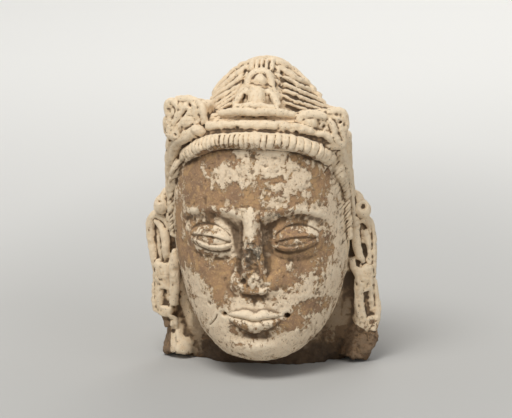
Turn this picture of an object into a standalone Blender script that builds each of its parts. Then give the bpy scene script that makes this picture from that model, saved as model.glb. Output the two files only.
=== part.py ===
"""A bodhisattva's head of fired clay, broken off at the neck, as one solid.

The head is laid out the way a modeller lays out a figure: in parts of its own height, 165 to the
whole, so that one part of the real head is about a millimetre. It looks along -Y, +Z is up, and
it is worked in three passes: soft masses, applied rolls and pellets of clay, and cuts made with a
tool. Every place below is in parts unless its name ends in _M, for metres.
"""

import math

import bmesh
import bpy
import numpy as np
from mathutils import Euler, Matrix, Vector

# Driving dimensions
HEAD_HEIGHT_M = 0.165
TRIANGLES = 9700
CLAY_GRAIN = 0.62  # size of the smallest facet while the clay is worked
WORKED_CARE = 40.0  # how much longer finely worked places keep their facets
NAME = "bodhisattva_head"

# The face, in thirds between the hairline and the chin
CHIN_Z = 10.0
HAIRLINE_Z = 124.0
THIRD = (HAIRLINE_Z - CHIN_Z) / 3
BROW_Z = HAIRLINE_Z - THIRD
NOSE_BASE_Z = CHIN_Z + THIRD
MOUTH_Z = NOSE_BASE_Z - THIRD / 3
EYE_Z = BROW_Z - THIRD / 4
FACE_HALF = 48.5
EYE_INNER, EYE_OUTER = 11.0, 36.0

# Clay rolls, pellets and cuts
CORD_RADIUS = 4.3
CORD_SIDE_RADIUS = 2.7
CORD_TWIST = 3.1  # spacing of the cord notches
FILLET_RADIUS = 2.2
LOCKS = 5  # locks of hair on each side of the topknot
LOCK_RADIUS = 2.1
LOCK_CUT = 1.5  # width and depth of the cuts between the locks
ARM_RADIUS = 2.0
SEAT_RADIUS = 2.2
EAR_X, EAR_Y, EAR_Z = 54.0, 9.0, 63.5
EAR_SWEEP = 32.0  # degrees that the ear turns back from the front view
EAR_SHIFT = -1.2  # both ears stand this far to the left
LOBE_SLOT_DEPTH = 2.6
BLOCK_TURN = 23.0  # degrees that the crown's side blocks turn outwards
TIE_STRANDS = (-5.2, -2.2, 1.0, 4.2)  # x of the short strands over the peak
MOUTH_DRILL = 1.5
NOSE_STUMP = 5.6  # how far the broken nose stands out of the face
BREAK_ROUGHNESS = 2.0

FRONT = np.array([0.0, -1.0, 0.0])

# Level sections from low to high: height, half width, front reach, back reach, y of the widest line
SKULL = (
    (CHIN_Z, 9, 10, 8, -30),
    (CHIN_Z + 2.5, 20, 24, 24, -21),
    (CHIN_Z + 8, 28, 34, 34, -14),
    (CHIN_Z + 17, 36, 41, 40, -8),
    (CHIN_Z + 30, 42, 46, 45, -3),
    (CHIN_Z + 46, 46, 49, 48, 0),
    (CHIN_Z + 64, FACE_HALF - 0.5, 51, 49, 1),
    (CHIN_Z + 82, FACE_HALF - 0.5, 52, 50, 1),
    (CHIN_Z + 98, FACE_HALF - 2, 51.5, 50, 1),
    (CHIN_Z + 110, FACE_HALF - 4.5, 50, 48, 1),
    (CHIN_Z + 120, FACE_HALF - 8, 46.5, 45, 1),
    (CHIN_Z + 130, FACE_HALF - 16, 38, 38, 1),
)
BAND = (
    (113, 43, 44, 30, 0),
    (120, 45.5, 49, 30, 0),
    (131, 45, 48.5, 28, 0),
    (135, 43, 46.5, 26, 0),
    (138, 39, 42, 22, 0),
    (139.5, 30, 33, 16, 0),
)
NECK = ((-3, 33, 24, 26, 12), (14, 33, 26, 26, 12), (40, 35, 30, 28, 10), (60, 36, 32, 30, 8))
NAPE = (
    (-3, 45, 13, 22, 22),
    (6, 50, 17, 24, 22),
    (20, 52, 19, 26, 21),
    (45, 52, 22, 29, 18),
    (75, 51, 24, 33, 14),
    (100, 49, 26, 34, 10),
    (116, 46, 24, 33, 10),
    (128, 40, 24, 29, 8),
    (138, 31, 20, 23, 6),
    (146, 21, 12, 15, 5),
    (151, 10, 6, 6, 4),
)
TOPKNOT = (
    (118, 40, 40, 40, 2),
    (130, 37, 38, 36, 2),
    (138, 32.2, 34.6, 32, 2),
    (147, 25.6, 29, 26.5, 2.5),
    (155, 18.8, 22.6, 20.4, 3),
    (160.5, 13.0, 16.6, 15, 3.5),
    (163.4, 8.4, 11.4, 10, 4),
    (164.6, 4.5, 6.5, 5.5, 4),
)
ROUNDNESS = 0.94
SQUARE_ROUNDNESS = 0.72
# Rolls of hair on one side, behind the ear and from the crown to the ear: place and radius
HAIR_FALL = ((48, 16, 44, 8), (51, 17, 24, 9), (50, 14, 2, 12))
HAIR_AT_TEMPLE = ((44, -14, 126, 8), (48.5, -7, 108, 6), (50, 0, 90, 5), (50, 4, 76, 5))
# Straps that run down the temples outside the cord
STRAPS = (
    (
        (-33, -38.5, 130.6, 2.8), (-39, -33.5, 127, 3.2), (-45, -25, 121.5, 2.9),
        (-49.6, -14, 108, 2.0), (-50.5, -8, 96, 1.5),
    ),
    ((-48.5, -19, 131, 2.6), (-51.3, -13, 117, 2.8), (-52.6, -7, 103, 2.5), (-52.2, -2, 91, 2.0)),
    ((38, -33, 131, 1.8), (44.6, -25, 122.5, 1.7), (49.8, -12, 106, 1.6), (50.6, -2, 83, 1.4)),
    ((39.5, -31, 127, 1.0), (44.5, -24, 117, 1.3), (48.9, -10, 92, 1.2), (48.6, -6, 81, 1.0)),
)
# First and last lock of the fan on each side of the topknot: x and z from the tie down
LOCK_FANS = (
    (((-7.0, 163.2), (-19.6, 154.6), (-27.4, 143.8)), ((-14.4, 143.8), (-19.0, 141.0), (-25.6, 136.2))),
    (((5.0, 163.6), (15.6, 157.4), (26.2, 148.2)), ((13.2, 144.6), (19.2, 141.8), (31.6, 137.4))),
)
# The cord's middle line on one half of the hairline: x and z, from the forehead down
HAIRLINE = (
    (0, 128.2), (13, 127.6), (24, 125.3), (34, 119.9), (41.5, 111), (45.8, 98), (47.6, 82), (47.6, 70),
)
# A roll of hair that hangs before the left ear: place and radius
CHEEK_ROLL = ((-48.2, -6, 62, 1.2), (-49, -4, 52, 2.6), (-49.6, -2, 40, 2.8), (-50.4, 0, 31, 2.2))


def smooth_through(keys, count):
    """Rows of numbers on a smooth curve through the key rows."""
    keys = np.asarray(keys, float)
    padded = np.vstack([2 * keys[0] - keys[1], keys, 2 * keys[-1] - keys[-2]])
    t = np.linspace(0, len(keys) - 1, count)
    i = np.minimum(t.astype(int), len(keys) - 2)
    u = (t - i)[:, None]
    a, b, c, d = (padded[i + k] for k in range(4))
    return 0.5 * (2 * b + (c - a) * u + (2 * a - 5 * b + 4 * c - d) * u**2 + (3 * b - a - 3 * c + d) * u**3)


def evenly(path, step):
    """Points at even distances along a path."""
    path = np.asarray(path, float)
    run = np.concatenate([[0], np.cumsum(np.linalg.norm(np.diff(path, axis=0), axis=1))])
    marks = np.linspace(0, run[-1], max(2, int(round(run[-1] / step)) + 1))
    return np.stack([np.interp(marks, run, path[:, k]) for k in range(path.shape[1])], axis=1)


def step_up(value, low, high):
    """0 below low, 1 above high, and a smooth rise between them."""
    t = np.clip((value - low) / (high - low), 0, 1)
    return t * t * (3 - 2 * t)


def hill(u, v, at, size):
    """A soft round rise of height 1 about a point, with its own reach each way."""
    return np.exp(-(((u - at[0]) / size[0]) ** 2) - ((v - at[1]) / size[1]) ** 2)


def dome(u, v, at, size):
    """A rise of height 1 that ends level at its own edge."""
    return np.clip(1 - ((u - at[0]) / size[0]) ** 2 - ((v - at[1]) / size[1]) ** 2, 0, 1) ** 1.5


def lumps(points, size, seed):
    """Smooth random values from -1 to 1 over space, with lumps of about the given size."""
    lattice = np.random.default_rng(seed).uniform(-1, 1, (32, 32, 32))
    scaled = np.asarray(points) / size + 1000
    cell = np.floor(scaled).astype(int)
    part = scaled - cell
    part = part * part * (3 - 2 * part)
    value = np.zeros(len(scaled))
    for corner in np.ndindex(2, 2, 2):
        index = (cell + corner) % 32
        weight = np.prod(np.where(corner, part, 1 - part), axis=1)
        value += weight * lattice[index[:, 0], index[:, 1], index[:, 2]]
    return value


def front_y(sections, x, z):
    """The y of a lofted mass's front at a place in the front view."""
    rows = smooth_through(sections, 200)
    half, front, middle = (np.interp(z, rows[:, 0], rows[:, k]) for k in (1, 2, 4))
    power = 2 / ROUNDNESS
    share = np.clip(np.abs(x) / half, 0, 0.995)
    return float(middle - front * (1 - share**power) ** (1 / power))


def on_head(x, z, lift):
    """A point that stands lift in front of the forehead or the crown's band."""
    y = front_y(SKULL, x, z) if z < 112 else front_y(BAND, x, z)
    return (x, y - lift, z)


def on_topknot(x, z, lift):
    return (x, front_y(TOPKNOT, x, z) - lift, z)


class ClayPile:
    """Closed lumps of clay, gathered before the remesher joins them into one body."""

    def __init__(self):
        self.lumps = bmesh.new()
        self.whole = []
        self.rolls = bpy.data.curves.new("rolls", "CURVE")
        self.rolls.dimensions = "3D"
        self.rolls.bevel_depth = 1.0
        self.rolls.bevel_resolution = 3
        self.rolls.resolution_u = 8
        self.rolls.use_fill_caps = True

    def loft(self, sections, roundness=ROUNDNESS, sides=72, rows=60):
        """A closed body through level sections."""
        turn = np.linspace(0, 2 * math.pi, sides, endpoint=False)
        c, s = (np.sign(k) * np.abs(k) ** roundness for k in (np.cos(turn), np.sin(turn)))
        rows = smooth_through(sections, rows)
        below = None
        for i, (z, half, front, back, middle) in enumerate(rows):
            at_end = i in (0, len(rows) - 1)
            ring = bmesh.ops.create_circle(self.lumps, cap_ends=at_end, segments=sides, radius=1)["verts"]
            for vertex, across, along in zip(ring, c, s):
                vertex.co = (half * across, middle + (front if along < 0 else back) * along, z)
            edges = list({edge for vertex in ring for edge in vertex.link_edges})
            if below:
                bmesh.ops.bridge_loops(self.lumps, edges=below + edges)
            below = edges

    def pellet(self, at, size, turn=(0, 0, 0), boxy=1.0):
        """An egg of clay with its own half sizes, turned by degrees about X, Y, then Z."""
        made = bmesh.ops.create_uvsphere(self.lumps, u_segments=20, v_segments=12, radius=1)
        place = Matrix.Translation(at) @ Euler(np.radians(turn)).to_matrix().to_4x4()
        for vertex in made["verts"]:
            shape = [math.copysign(abs(k) ** boxy, k) * half for k, half in zip(vertex.co, size)]
            vertex.co = place @ Vector(shape)

    def roll(self, keys):
        """A roll of clay that bends smoothly through points, each given with its thickness there."""
        spline = self.rolls.splines.new("BEZIER")
        spline.bezier_points.add(len(keys) - 1)
        for point, (x, y, z, radius) in zip(spline.bezier_points, keys):
            point.co = (x, y, z)
            point.radius = radius
            point.handle_left_type = point.handle_right_type = "AUTO"

    def take(self, mesh):
        """Adds a mesh that is already made."""
        self.whole.append(mesh)

    def joined(self, grain, smoothing):
        """One closed mesh of the whole pile, remeshed and smoothed."""
        if self.rolls.splines:
            bent = bpy.data.objects.new("rolls", self.rolls)
            self.take(bpy.data.meshes.new_from_object(bent))
            bpy.data.objects.remove(bent)
        for made in self.whole:
            self.lumps.from_mesh(made)
        mesh = bpy.data.meshes.new("clay")
        self.lumps.to_mesh(mesh)
        self.lumps.free()
        clay = bpy.data.objects.new("clay", mesh)
        bpy.context.scene.collection.objects.link(clay)
        remesh = clay.modifiers.new("remesh", "REMESH")
        remesh.mode = "VOXEL"
        remesh.voxel_size = grain
        soften = clay.modifiers.new("soften", "SMOOTH")
        soften.factor = 0.5
        soften.iterations = smoothing
        graph = bpy.context.evaluated_depsgraph_get()
        made = bpy.data.meshes.new_from_object(clay.evaluated_get(graph))
        bpy.data.objects.remove(clay)
        return made


class Surface:
    """The clay's skin while it is worked: its points and their outward normals."""

    def __init__(self, mesh):
        self.mesh = mesh
        points = np.empty(len(mesh.vertices) * 3, np.float32)
        mesh.vertices.foreach_get("co", points)
        self.at = points.reshape(-1, 3).astype(float)
        self.settle()

    def settle(self):
        """Writes the points back and reads the normals again."""
        self.mesh.vertices.foreach_set("co", self.at.astype(np.float32).ravel())
        self.mesh.update()
        normals = np.empty(len(self.at) * 3, np.float32)
        self.mesh.vertex_normals.foreach_get("vector", normals)
        self.out = normals.reshape(-1, 3).astype(float)

    def stroke(self, keys, radius, height, flat=False, taper=0.15, sharp=1.0):
        """Raises the skin along a path, or cuts it where height is negative.

        A flat stroke is measured in the front view alone, moves points along -Y and leaves those
        that don't face the front. The stroke fades over a taper share of its length at each end.
        """
        path = smooth_through(keys, 10 * len(keys)) if len(keys) > 2 else np.asarray(keys, float)
        seen = np.array([0, 2]) if flat else np.array([0, 1, 2])
        line = path[:, seen]
        points = self.at[:, seen]
        reach = radius * 1.6
        inside = ((points > line.min(0) - reach) & (points < line.max(0) + reach)).all(axis=1)
        if flat:
            inside &= (self.out[:, 1] < -0.1) & (self.at[:, 1] < 0)
        chosen = np.flatnonzero(inside)
        if not len(chosen):
            return
        points = points[chosen]
        best = np.full(len(chosen), 1e9)
        share = np.zeros(len(chosen))
        for i, (a, b) in enumerate(zip(line[:-1], line[1:])):
            way = b - a
            t = np.clip(((points - a) @ way) / max(way @ way, 1e-9), 0, 1)
            gap = np.linalg.norm(points - a - t[:, None] * way, axis=1)
            closer = gap < best
            best[closer] = gap[closer]
            share[closer] = (i + t[closer]) / (len(line) - 1)
        fall = np.exp(-((best / (0.62 * radius)) ** (2 * sharp)))
        if taper:
            fall *= step_up(share, 0, taper) * step_up(1 - share, 0, taper)
        way = FRONT if flat else self.out[chosen]
        self.at[chosen] += (height * fall)[:, None] * way

    def drill(self, at, radius, depth):
        """A small round hole pushed straight in from the front."""
        gap = np.hypot(self.at[:, 0] - at[0], self.at[:, 2] - at[1])
        hole = np.exp(-((gap / radius) ** 4)) * (self.out[:, 1] < 0.1) * (self.at[:, 1] < 3)
        self.at[:, 1] += depth * hole


class TurnedFrame:
    """Places on an upright face: across it, away from the head's middle, up, and out of it."""

    def __init__(self, middle, side, turn):
        angle = math.radians(turn)
        self.middle = np.array(middle)
        self.across = np.array([side * math.cos(angle), math.sin(angle), 0])
        self.out = np.array([side * math.sin(angle), -math.cos(angle), 0])
        self.turn = side * turn

    def at(self, across, up, lift):
        return self.middle + self.across * across + self.out * lift + np.array([0, 0, up])

    def pellet(self, pile, place, size, tilt=0, boxy=1.0):
        pile.pellet(self.at(*place), size, (0, tilt, self.turn), boxy)

    def roll(self, pile, *keys):
        """A roll of clay on the face, through places each given with its thickness."""
        pile.roll([(*self.at(across, up, lift), radius) for across, up, lift, radius in keys])

    def volute(self, pile, middle, start, turns, size, radius):
        """A curled roll on the face."""
        shares = np.linspace(0, 1, 12)
        angles = start + turns * 2 * math.pi * shares
        reach = size * (1 - 0.6 * shares)
        across = middle[0] + reach * np.cos(angles)
        up = middle[1] + reach * np.sin(angles)
        thick = radius * (1 - 0.2 * shares)
        self.roll(pile, *((a, b, middle[2], c) for a, b, c in zip(across, up, thick)))


def ear_frame(side):
    return TurnedFrame((side * EAR_X + EAR_SHIFT, EAR_Y, 0), side, EAR_SWEEP)


def soft_masses():
    """Skull, band, neck, hair and the flat of each ear, blended into one another."""
    pile = ClayPile()
    pile.loft(SKULL)
    pile.loft(BAND)
    pile.loft(NECK)
    pile.loft(NAPE, SQUARE_ROUNDNESS)
    pile.loft(TOPKNOT)
    for side in (-1, 1):
        flat = (side * (EAR_X - 0.5) + EAR_SHIFT, EAR_Y + 1, EAR_Z)
        pile.pellet(flat, (7.2, 5.0, 16), (0, 0, side * EAR_SWEEP))
        pile.pellet((side * 50, EAR_Y + 5, EAR_Z + 4), (7, 7, 20))
        lobe = (side * 54.6 + EAR_SHIFT, 8.6, 35)
        pile.pellet(lobe, (5.6, 4.6, 19), (6, side * -4, side * EAR_SWEEP), boxy=0.6)
        pile.roll([(side * x, y, z, radius) for x, y, z, radius in HAIR_FALL])
        pile.roll([(side * x, y, z, radius) for x, y, z, radius in HAIR_AT_TEMPLE])
    return pile.joined(CLAY_GRAIN, 10)


def cord(pile):
    """The notched cord along the hairline: a core, and a pellet for each twist."""
    half = smooth_through(HAIRLINE, 120)
    line = evenly(np.vstack([half[::-1] * (-1, 1), half[1:]]), CORD_TWIST)
    for x, z in line:
        down = step_up(HAIRLINE_Z - z, 4, 34)
        radius = CORD_RADIUS + (CORD_SIDE_RADIUS - CORD_RADIUS) * down
        lean = math.degrees(math.atan2(x, z - 76)) * 0.9 + 14 * math.copysign(down, x)
        pile.pellet(on_head(x, z, 1.2), (CORD_TWIST * 0.53, radius * 0.9, radius), (0, lean, 0))


def fillet(pile):
    """The plain roll above the cord, broken short at one end, and the flat strip over it."""
    thick = FILLET_RADIUS
    bar = ((-26.5, 133.9, thick), (-14, 135.4, thick), (0, 135.9, thick), (15, 135.2, thick))
    bar += ((28, 132.4, thick - 0.1), (37, 127, thick - 0.5))
    pile.roll([(*on_head(x, z, 0.7), radius) for x, z, radius in bar])
    strip = ((-25, 138, 1.2), (-12, 139.4, 1.7), (0, 139.8, 1.9), (13, 139.4, 1.7), (25, 137.6, 1.2))
    pile.roll([(*on_head(x, z, -0.4), radius) for x, z, radius in strip])
    pile.pellet((-31, -40, 131.6), (4.6, 2.4, 2.6), (0, 25, 25))


def left_block(pile):
    """Scroll, arched curl and leaf on the block over the left temple."""
    block = TurnedFrame((-38, -27, 137), -1, BLOCK_TURN)
    block.pellet(pile, (-2.6, -1.5, 0.4), (11.8, 7.4, 10.4), boxy=0.45)
    block.pellet(pile, (1, -8, -2), (9.5, 7, 9))
    arch = ((8.2, 1.2, 6.2, 1.3), (7.9, 6.4, 6.6, 1.5), (5.2, 8.6, 6.6, 1.6), (2.4, 7.4, 6.8, 1.5))
    block.roll(pile, *arch, (1.4, 3.6, 6.8, 1.4), (2.2, -0.6, 6.8, 1.3), (4.3, -5, 6.2, 1.2))
    crest = ((3.6, 8.8, 3.4, 1.9), (-0.6, 9.6, 4.4, 2.0), (-4.8, 10.0, 4.8, 1.9), (-9.6, 9.0, 4.6, 1.7))
    block.roll(pile, *crest)
    block.volute(pile, (-8.0, 4.8, 7.2), 2.6, -1.15, 3.1, 1.05)
    block.roll(pile, (-9.2, 9.2, 6, 1.3), (-12.6, 7.6, 6.4, 1.6), (-14.6, 3, 6.4, 1.7), (-15, -2, 5.6, 1.5))
    block.pellet(pile, (-5.4, -1.2, 6.4), (6.0, 2.4, 3.6), tilt=-20)
    block.roll(pile, (8.6, 0, 5.0, 1.8), (9.2, -4, 4.6, 1.9), (9.0, -9, 3.6, 1.9))


def right_block(pile):
    """Leaves on the block over the right temple."""
    block = TurnedFrame((38, -27, 132), 1, BLOCK_TURN)
    block.pellet(pile, (-1.6, -0.8, -0.2), (12.6, 7.6, 10.0), boxy=0.45)
    block.pellet(pile, (2, -7, -2), (9, 7, 9))
    leaf = ((-16.6, 3.4, 5.0, 1.5), (-15.0, 7.2, 5.6, 1.9), (-11.4, 8.6, 6.2, 2.1), (-6.4, 8.2, 6.8, 2.0))
    block.roll(pile, *leaf, (-2.0, 6.8, 7.0, 1.6))
    block.pellet(pile, (-10.6, 4.4, 6.2), (5.6, 2.4, 3.4), tilt=-14)
    crest = ((-0.6, 8.8, 4.6, 1.9), (3.2, 9.4, 4.8, 2.1), (7.4, 8.8, 4.8, 2.1), (9.4, 5.8, 4.8, 2.0))
    block.roll(pile, *crest, (10.0, 0, 5.0, 1.9))
    stem = ((-0.6, 5.6, 7.4, 1.3), (1.8, 2.4, 7.6, 1.8), (3.6, -3.2, 7.0, 1.9), (7.6, -8.6, 5.6, 1.8))
    block.roll(pile, *stem)
    block.roll(pile, (4.6, 6.4, 6.8, 1.4), (6.6, 2.0, 6.8, 1.6), (7.4, -3.0, 6.2, 1.5))
    block.roll(pile, (-14, -1.6, 6, 1.1), (-7, -1.2, 7.4, 1.6), (-1.2, -2.6, 7.4, 1.7), (2.6, -7, 6.4, 1.5))


def seated_figure(pile):
    """The small figure that sits before the topknot, with its halo, and the seat below."""
    middle = -0.4
    pile.pellet((0.3, -26.5, 154.6), (7.6, 6.0, 8.2), (-12, 0, 0))
    pile.pellet((0.5, -17.5, 153.5), (7.2, 10.0, 8.4))
    around = np.radians(np.linspace(-30, 210, 9))
    hood = [(0.3 + 6.3 * math.cos(a), -30.4 + 1.6 * math.sin(a), 154.6 + 6.9 * math.sin(a)) for a in around]
    pile.roll([(*at, 1.5) for at in hood])
    pile.pellet((middle, -31, 148.0), (12.0, 8.2, 7.4), (-10, 0, 0))
    pile.pellet((0.6, -31.2, 156.0), (3.4, 3.0, 4.4))
    pile.roll([(middle, -36, 152.6, 4.6), (middle, -38, 148.5, 4.9), (middle, -39.5, 144, 5.2)])
    for side in (-1, 1):
        arm = ((4.8, -35.8, 152.4, 1), (9.2, -38, 149.2, 0.8), (11.8, -39.6, 145, 0.75))
        pile.roll([(middle + side * x, y, z, ARM_RADIUS * share) for x, y, z, share in arm])
    shins = ((-20.5, -38.5, 140.2, 0.6), (-10, -43, 142.4, 0.95), (0, -44.6, 142.6, 1))
    shins += ((10, -43, 142.6, 0.95), (20.5, -38.5, 140.2, 0.6))
    pile.roll([(middle + x, y, z, SEAT_RADIUS * share) for x, y, z, share in shins])
    pile.roll([(-12.4, -41.5, 144.8, 1.3), (1.6, -43.6, 145.2, 1.8), (11.6, -42, 144.2, 1.3)])


def lock_lines(shares, lift):
    """The middle lines of locks that lie at some shares of the way across each fan of hair."""
    for first, last in LOCK_FANS:
        for share in shares:
            keys = [(1 - share) * np.array(p) + share * np.array(q) for p, q in zip(first, last)]
            yield [on_topknot(x, z, lift) for x, z in keys]


def topknot_locks(pile):
    """Locks combed from the tie at the peak down each side of the topknot."""
    for line in lock_lines(np.linspace(0, 1, LOCKS), 0.9):
        pile.roll([(*at, LOCK_RADIUS * share) for at, share in zip(line, (0.6, 0.9, 1.0))])
    for x in TIE_STRANDS:
        over = ((x, -15.5, 160.4, 1.2), (x, -11, 163.0, 1.45), (x * 0.9, -6, 164.0, 1.3))
        pile.roll([*over, (x * 0.7, 1, 163.8, 1.0)])


def ear(pile, side):
    """The rim and inner fold of one ear, its long pierced lobe, and the curl above it."""
    face = ear_frame(side)
    rim = ((-6.2, 72, 3.2, 1.6), (-4.2, 77.4, 3.6, 2.0), (0.6, 79.2, 3.6, 2.1), (5.6, 75.4, 3.2, 2.1))
    face.roll(pile, *rim, (7.2, 67, 3.0, 2.0), (6.6, 57, 3.0, 1.9), (5.2, 47, 3.0, 1.8))
    face.roll(pile, (-3.4, 75, 3.6, 2.0), (-4.4, 68, 4.2, 2.4), (-2.6, 61, 4.4, 2.1), (-0.8, 54.5, 4.2, 1.6))
    face.roll(pile, (-6.0, 60, 2.6, 1.4), (-5.8, 53, 3.0, 1.6), (-3.4, 48.4, 3.4, 1.9), (1.4, 47.4, 3.4, 2.2))
    face.roll(pile, (-5.0, 45, 2.8, 2.4), (0, 43.8, 3.4, 2.8), (5.0, 45, 2.8, 2.2))
    reach = 1.4 if side < 0 else 2.6
    face.roll(pile, (-5.0, 46, 2.6, 1.7), (-4.8, 38, 3.0, 1.5), (-3.6, 27, 2.8, 1.5), (0.4, 18, 2.6, 1.8))
    edge = ((5.0, 46, 2.6, 1.7), (4.6 + reach * 0.4, 38, 2.8, 1.6), (3.6 + reach, 27, 2.6, 1.7))
    face.roll(pile, *edge, (1.6 + reach, 17, 2.2, 2.2))
    pile.pellet((side * 54.6, 2.5, 84.8), (4.6, 4.8, 5.6), (0, side * -38, 0))
    pile.pellet((side * 52.4, 3.0, 89), (3.6, 4.2, 5.4), (0, side * -24, 0))


def applied_forms(masses):
    """The masses with every roll and pellet of clay laid on them."""
    pile = ClayPile()
    pile.take(masses)
    cord(pile)
    fillet(pile)
    for strap in STRAPS:
        pile.roll(strap)
    left_block(pile)
    right_block(pile)
    seated_figure(pile)
    topknot_locks(pile)
    for side in (-1, 1):
        ear(pile, side)
    pile.roll(CHEEK_ROLL)
    return pile.joined(CLAY_GRAIN, 1)


def inside_hairline(x, z):
    """1 on the face and 0 on the hair, with the change along the cord."""
    low_first = HAIRLINE[::-1]
    edge = np.interp(z, [p[1] for p in low_first], [p[0] for p in low_first], left=FACE_HALF)
    return (z < HAIRLINE[0][1]) * step_up(edge - np.abs(x), 0.5, 3.5)


def model_eyes(a, z):
    """Sockets, half-closed lids and brows, for a distance from the middle and a height."""
    t = np.clip((a - EYE_INNER) / (EYE_OUTER - EYE_INNER), 0, 1)
    middle = (EYE_INNER + EYE_OUTER) / 2
    rise = -4.6 * hill(a, z, (middle - 1, EYE_Z + 6.5), (15, 6.0))
    rise -= 3.6 * hill(a, z, (EYE_INNER - 1.5, EYE_Z + 1), (4.4, 8))
    rise -= 1.6 * hill(a, z, (middle - 2, EYE_Z - 9), (14, 4.5))
    rise += 5.4 * dome(a, z, (middle, EYE_Z), (16.5, 12.5))
    arch = BROW_Z - 3 + 7.5 * np.sin(np.clip((a + 2) / 44, 0, 1) * math.pi) ** 0.9
    rise += 1.5 * np.exp(-(((z - arch - 1) / 2.4) ** 2)) * step_up(45 - a, 0, 10) * step_up(a, 1, 7)
    bow = np.sin(math.pi * t**0.85)
    lid = step_up(bow, 0.02, 0.35)
    axis = EYE_Z - 2.4 + 2.0 * t
    upper, lower = axis + 2.7 * bow, axis - 2.3 * bow
    crease = upper + 1.4 + 4.0 * bow**0.7
    ball = 1.0 * np.clip(1 - ((z - axis) / 2.9) ** 2, 0, 1)
    rise -= (1.9 - ball) * lid * step_up(upper - z, -0.2, 0.4) * step_up(z - lower, -0.3, 0.9)
    rise += 0.8 * lid * np.exp(-(((z - upper - 1.2) / 1.4) ** 2))
    rise += 1.0 * lid * np.exp(-(((z - lower + 1.3) / 1.2) ** 2))
    rise -= 0.9 * lid * np.exp(-(((z - crease) / 1.0) ** 2))
    return rise - 1.1 * lid * np.exp(-(((z - lower + 3.9) / 1.5) ** 2))


def model_nose(a, z, points):
    """A ridge that widens into two wings, its tip broken off at a rough stump."""
    down = np.clip((BROW_Z + 1 - z) / (BROW_Z - NOSE_BASE_Z), 0, 1.05)
    half = 4.6 + 4.4 * down**1.6
    height = (3.4 + 13.0 * down**1.25) * step_up(z, NOSE_BASE_Z - 1.6, NOSE_BASE_Z + 5.4)
    ridge = height * np.clip(1 - (a / half) ** 2, 0, 1) ** 0.9 * step_up(BROW_Z + 9 - z, 0, 10)
    wings = 5.0 * hill(a, z, (8.4, NOSE_BASE_Z + 5.2), (4.4, 4.6))
    nose = np.maximum(ridge, wings)
    jagged = 1.6 * lumps(points, 5, 5) + 1.3 * lumps(points, 2.6, 6) + 0.7 * lumps(points, 1.3, 7)
    stump = NOSE_STUMP + jagged - 1.6 * step_up(EYE_Z - 14 - z, 0, 10)
    return np.where(z < EYE_Z - 1, np.minimum(nose, stump), nose)


def model_mouth(x, z):
    """The muzzle, two lips either side of a gently rising line, and the chin."""
    a = np.abs(x)
    rise = 3.4 * hill(x, z, (0, MOUTH_Z + 1), (18, 13))
    line = MOUTH_Z - 0.9 + 1.3 * (a / 16) ** 2 - 0.9 * np.exp(-((a / 3.2) ** 2))
    wide = np.clip(1 - (a / 16) ** 2, 0, 1)
    over, under = z - line, line - z
    top = 4.6 * wide**0.7 + 1.0 * np.exp(-(((a - 4.8) / 3) ** 2)) + 0.01
    bottom = 6.4 * np.clip(1 - (a / 14.5) ** 2, 0, 1) ** 0.6 + 0.01
    swell = np.clip(1 - np.abs(over / top * 2 - 0.75) ** 2.2 * 0.62, 0, 1)
    rise += 2.7 * wide**0.5 * swell * (over > 0) * (over < top) * step_up(top - over, 0, 1)
    rise += 3.2 * wide**0.5 * np.sin(np.clip(under / bottom, 0, 1) * math.pi) ** 0.6 * (under > 0)
    rise -= 1.6 * np.exp(-(((z - line) / 0.9) ** 2)) * step_up(18.5 - a, 0, 3)
    rise -= 1.1 * hill(x, z, (0, MOUTH_Z + 8.2), (1.9, 3.6))
    rise -= 2.4 * hill(x, z, (0, MOUTH_Z - 10.5), (11, 3.4))
    return rise + 2.8 * hill(x, z, (0, CHIN_Z + 8.5), (10.5, 6.5))


def model_face(skin):
    """Brows, eyes, nose, lips and chin, raised from the blank face in the front view."""
    x, z = skin.at[:, 0], skin.at[:, 2]
    a = np.abs(x)
    face = inside_hairline(x, z) * step_up(-skin.out[:, 1], 0.05, 0.55) * (skin.at[:, 1] < -2)
    rise = 1.6 * hill(a, z, (31, MOUTH_Z + 19), (13, 15)) - 1.2 * hill(a, z, (41, EYE_Z - 6), (8, 14))
    rise += model_eyes(a, z) + model_nose(a, z, skin.at) + model_mouth(x, z)
    skin.at += (rise * face)[:, None] * FRONT
    skin.settle()
    for side in (-1, 1):
        skin.drill((side * 16.8, MOUTH_Z + 0.5), MOUTH_DRILL, 4.5)
    skin.stroke([(-12, 0, CHIN_Z + 5.5), (0, 0, CHIN_Z + 2.4), (12, 0, CHIN_Z + 5.5)], 1.2, -0.8, flat=True)
    half = smooth_through(HAIRLINE, 30)
    for side in (-1, 1):
        under = [(side * x, 0, z - CORD_RADIUS - 0.2) for x, z in half if z > 96]
        skin.stroke(under, 1.6, -1.3, flat=True, taper=0)
    skin.settle()


def comb_back(skin):
    """Faint comb lines over the back of the head."""
    x, y, z = skin.at.T
    turn = np.arctan2(x, -(y - 4))
    strand = np.abs(np.sin(turn * 11 + 0.6 * lumps(skin.at, 16, 4))) ** 0.7 - 0.7
    back = step_up(y, 8, 20) * step_up(z, 14, 30) * (1 - step_up(z, 158, 164))
    ears = hill(np.abs(x), z, (58, 58), (10, 34)) * (y < 24)
    skin.at += (0.7 * strand * back * (1 - ears))[:, None] * skin.out
    skin.settle()


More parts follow.
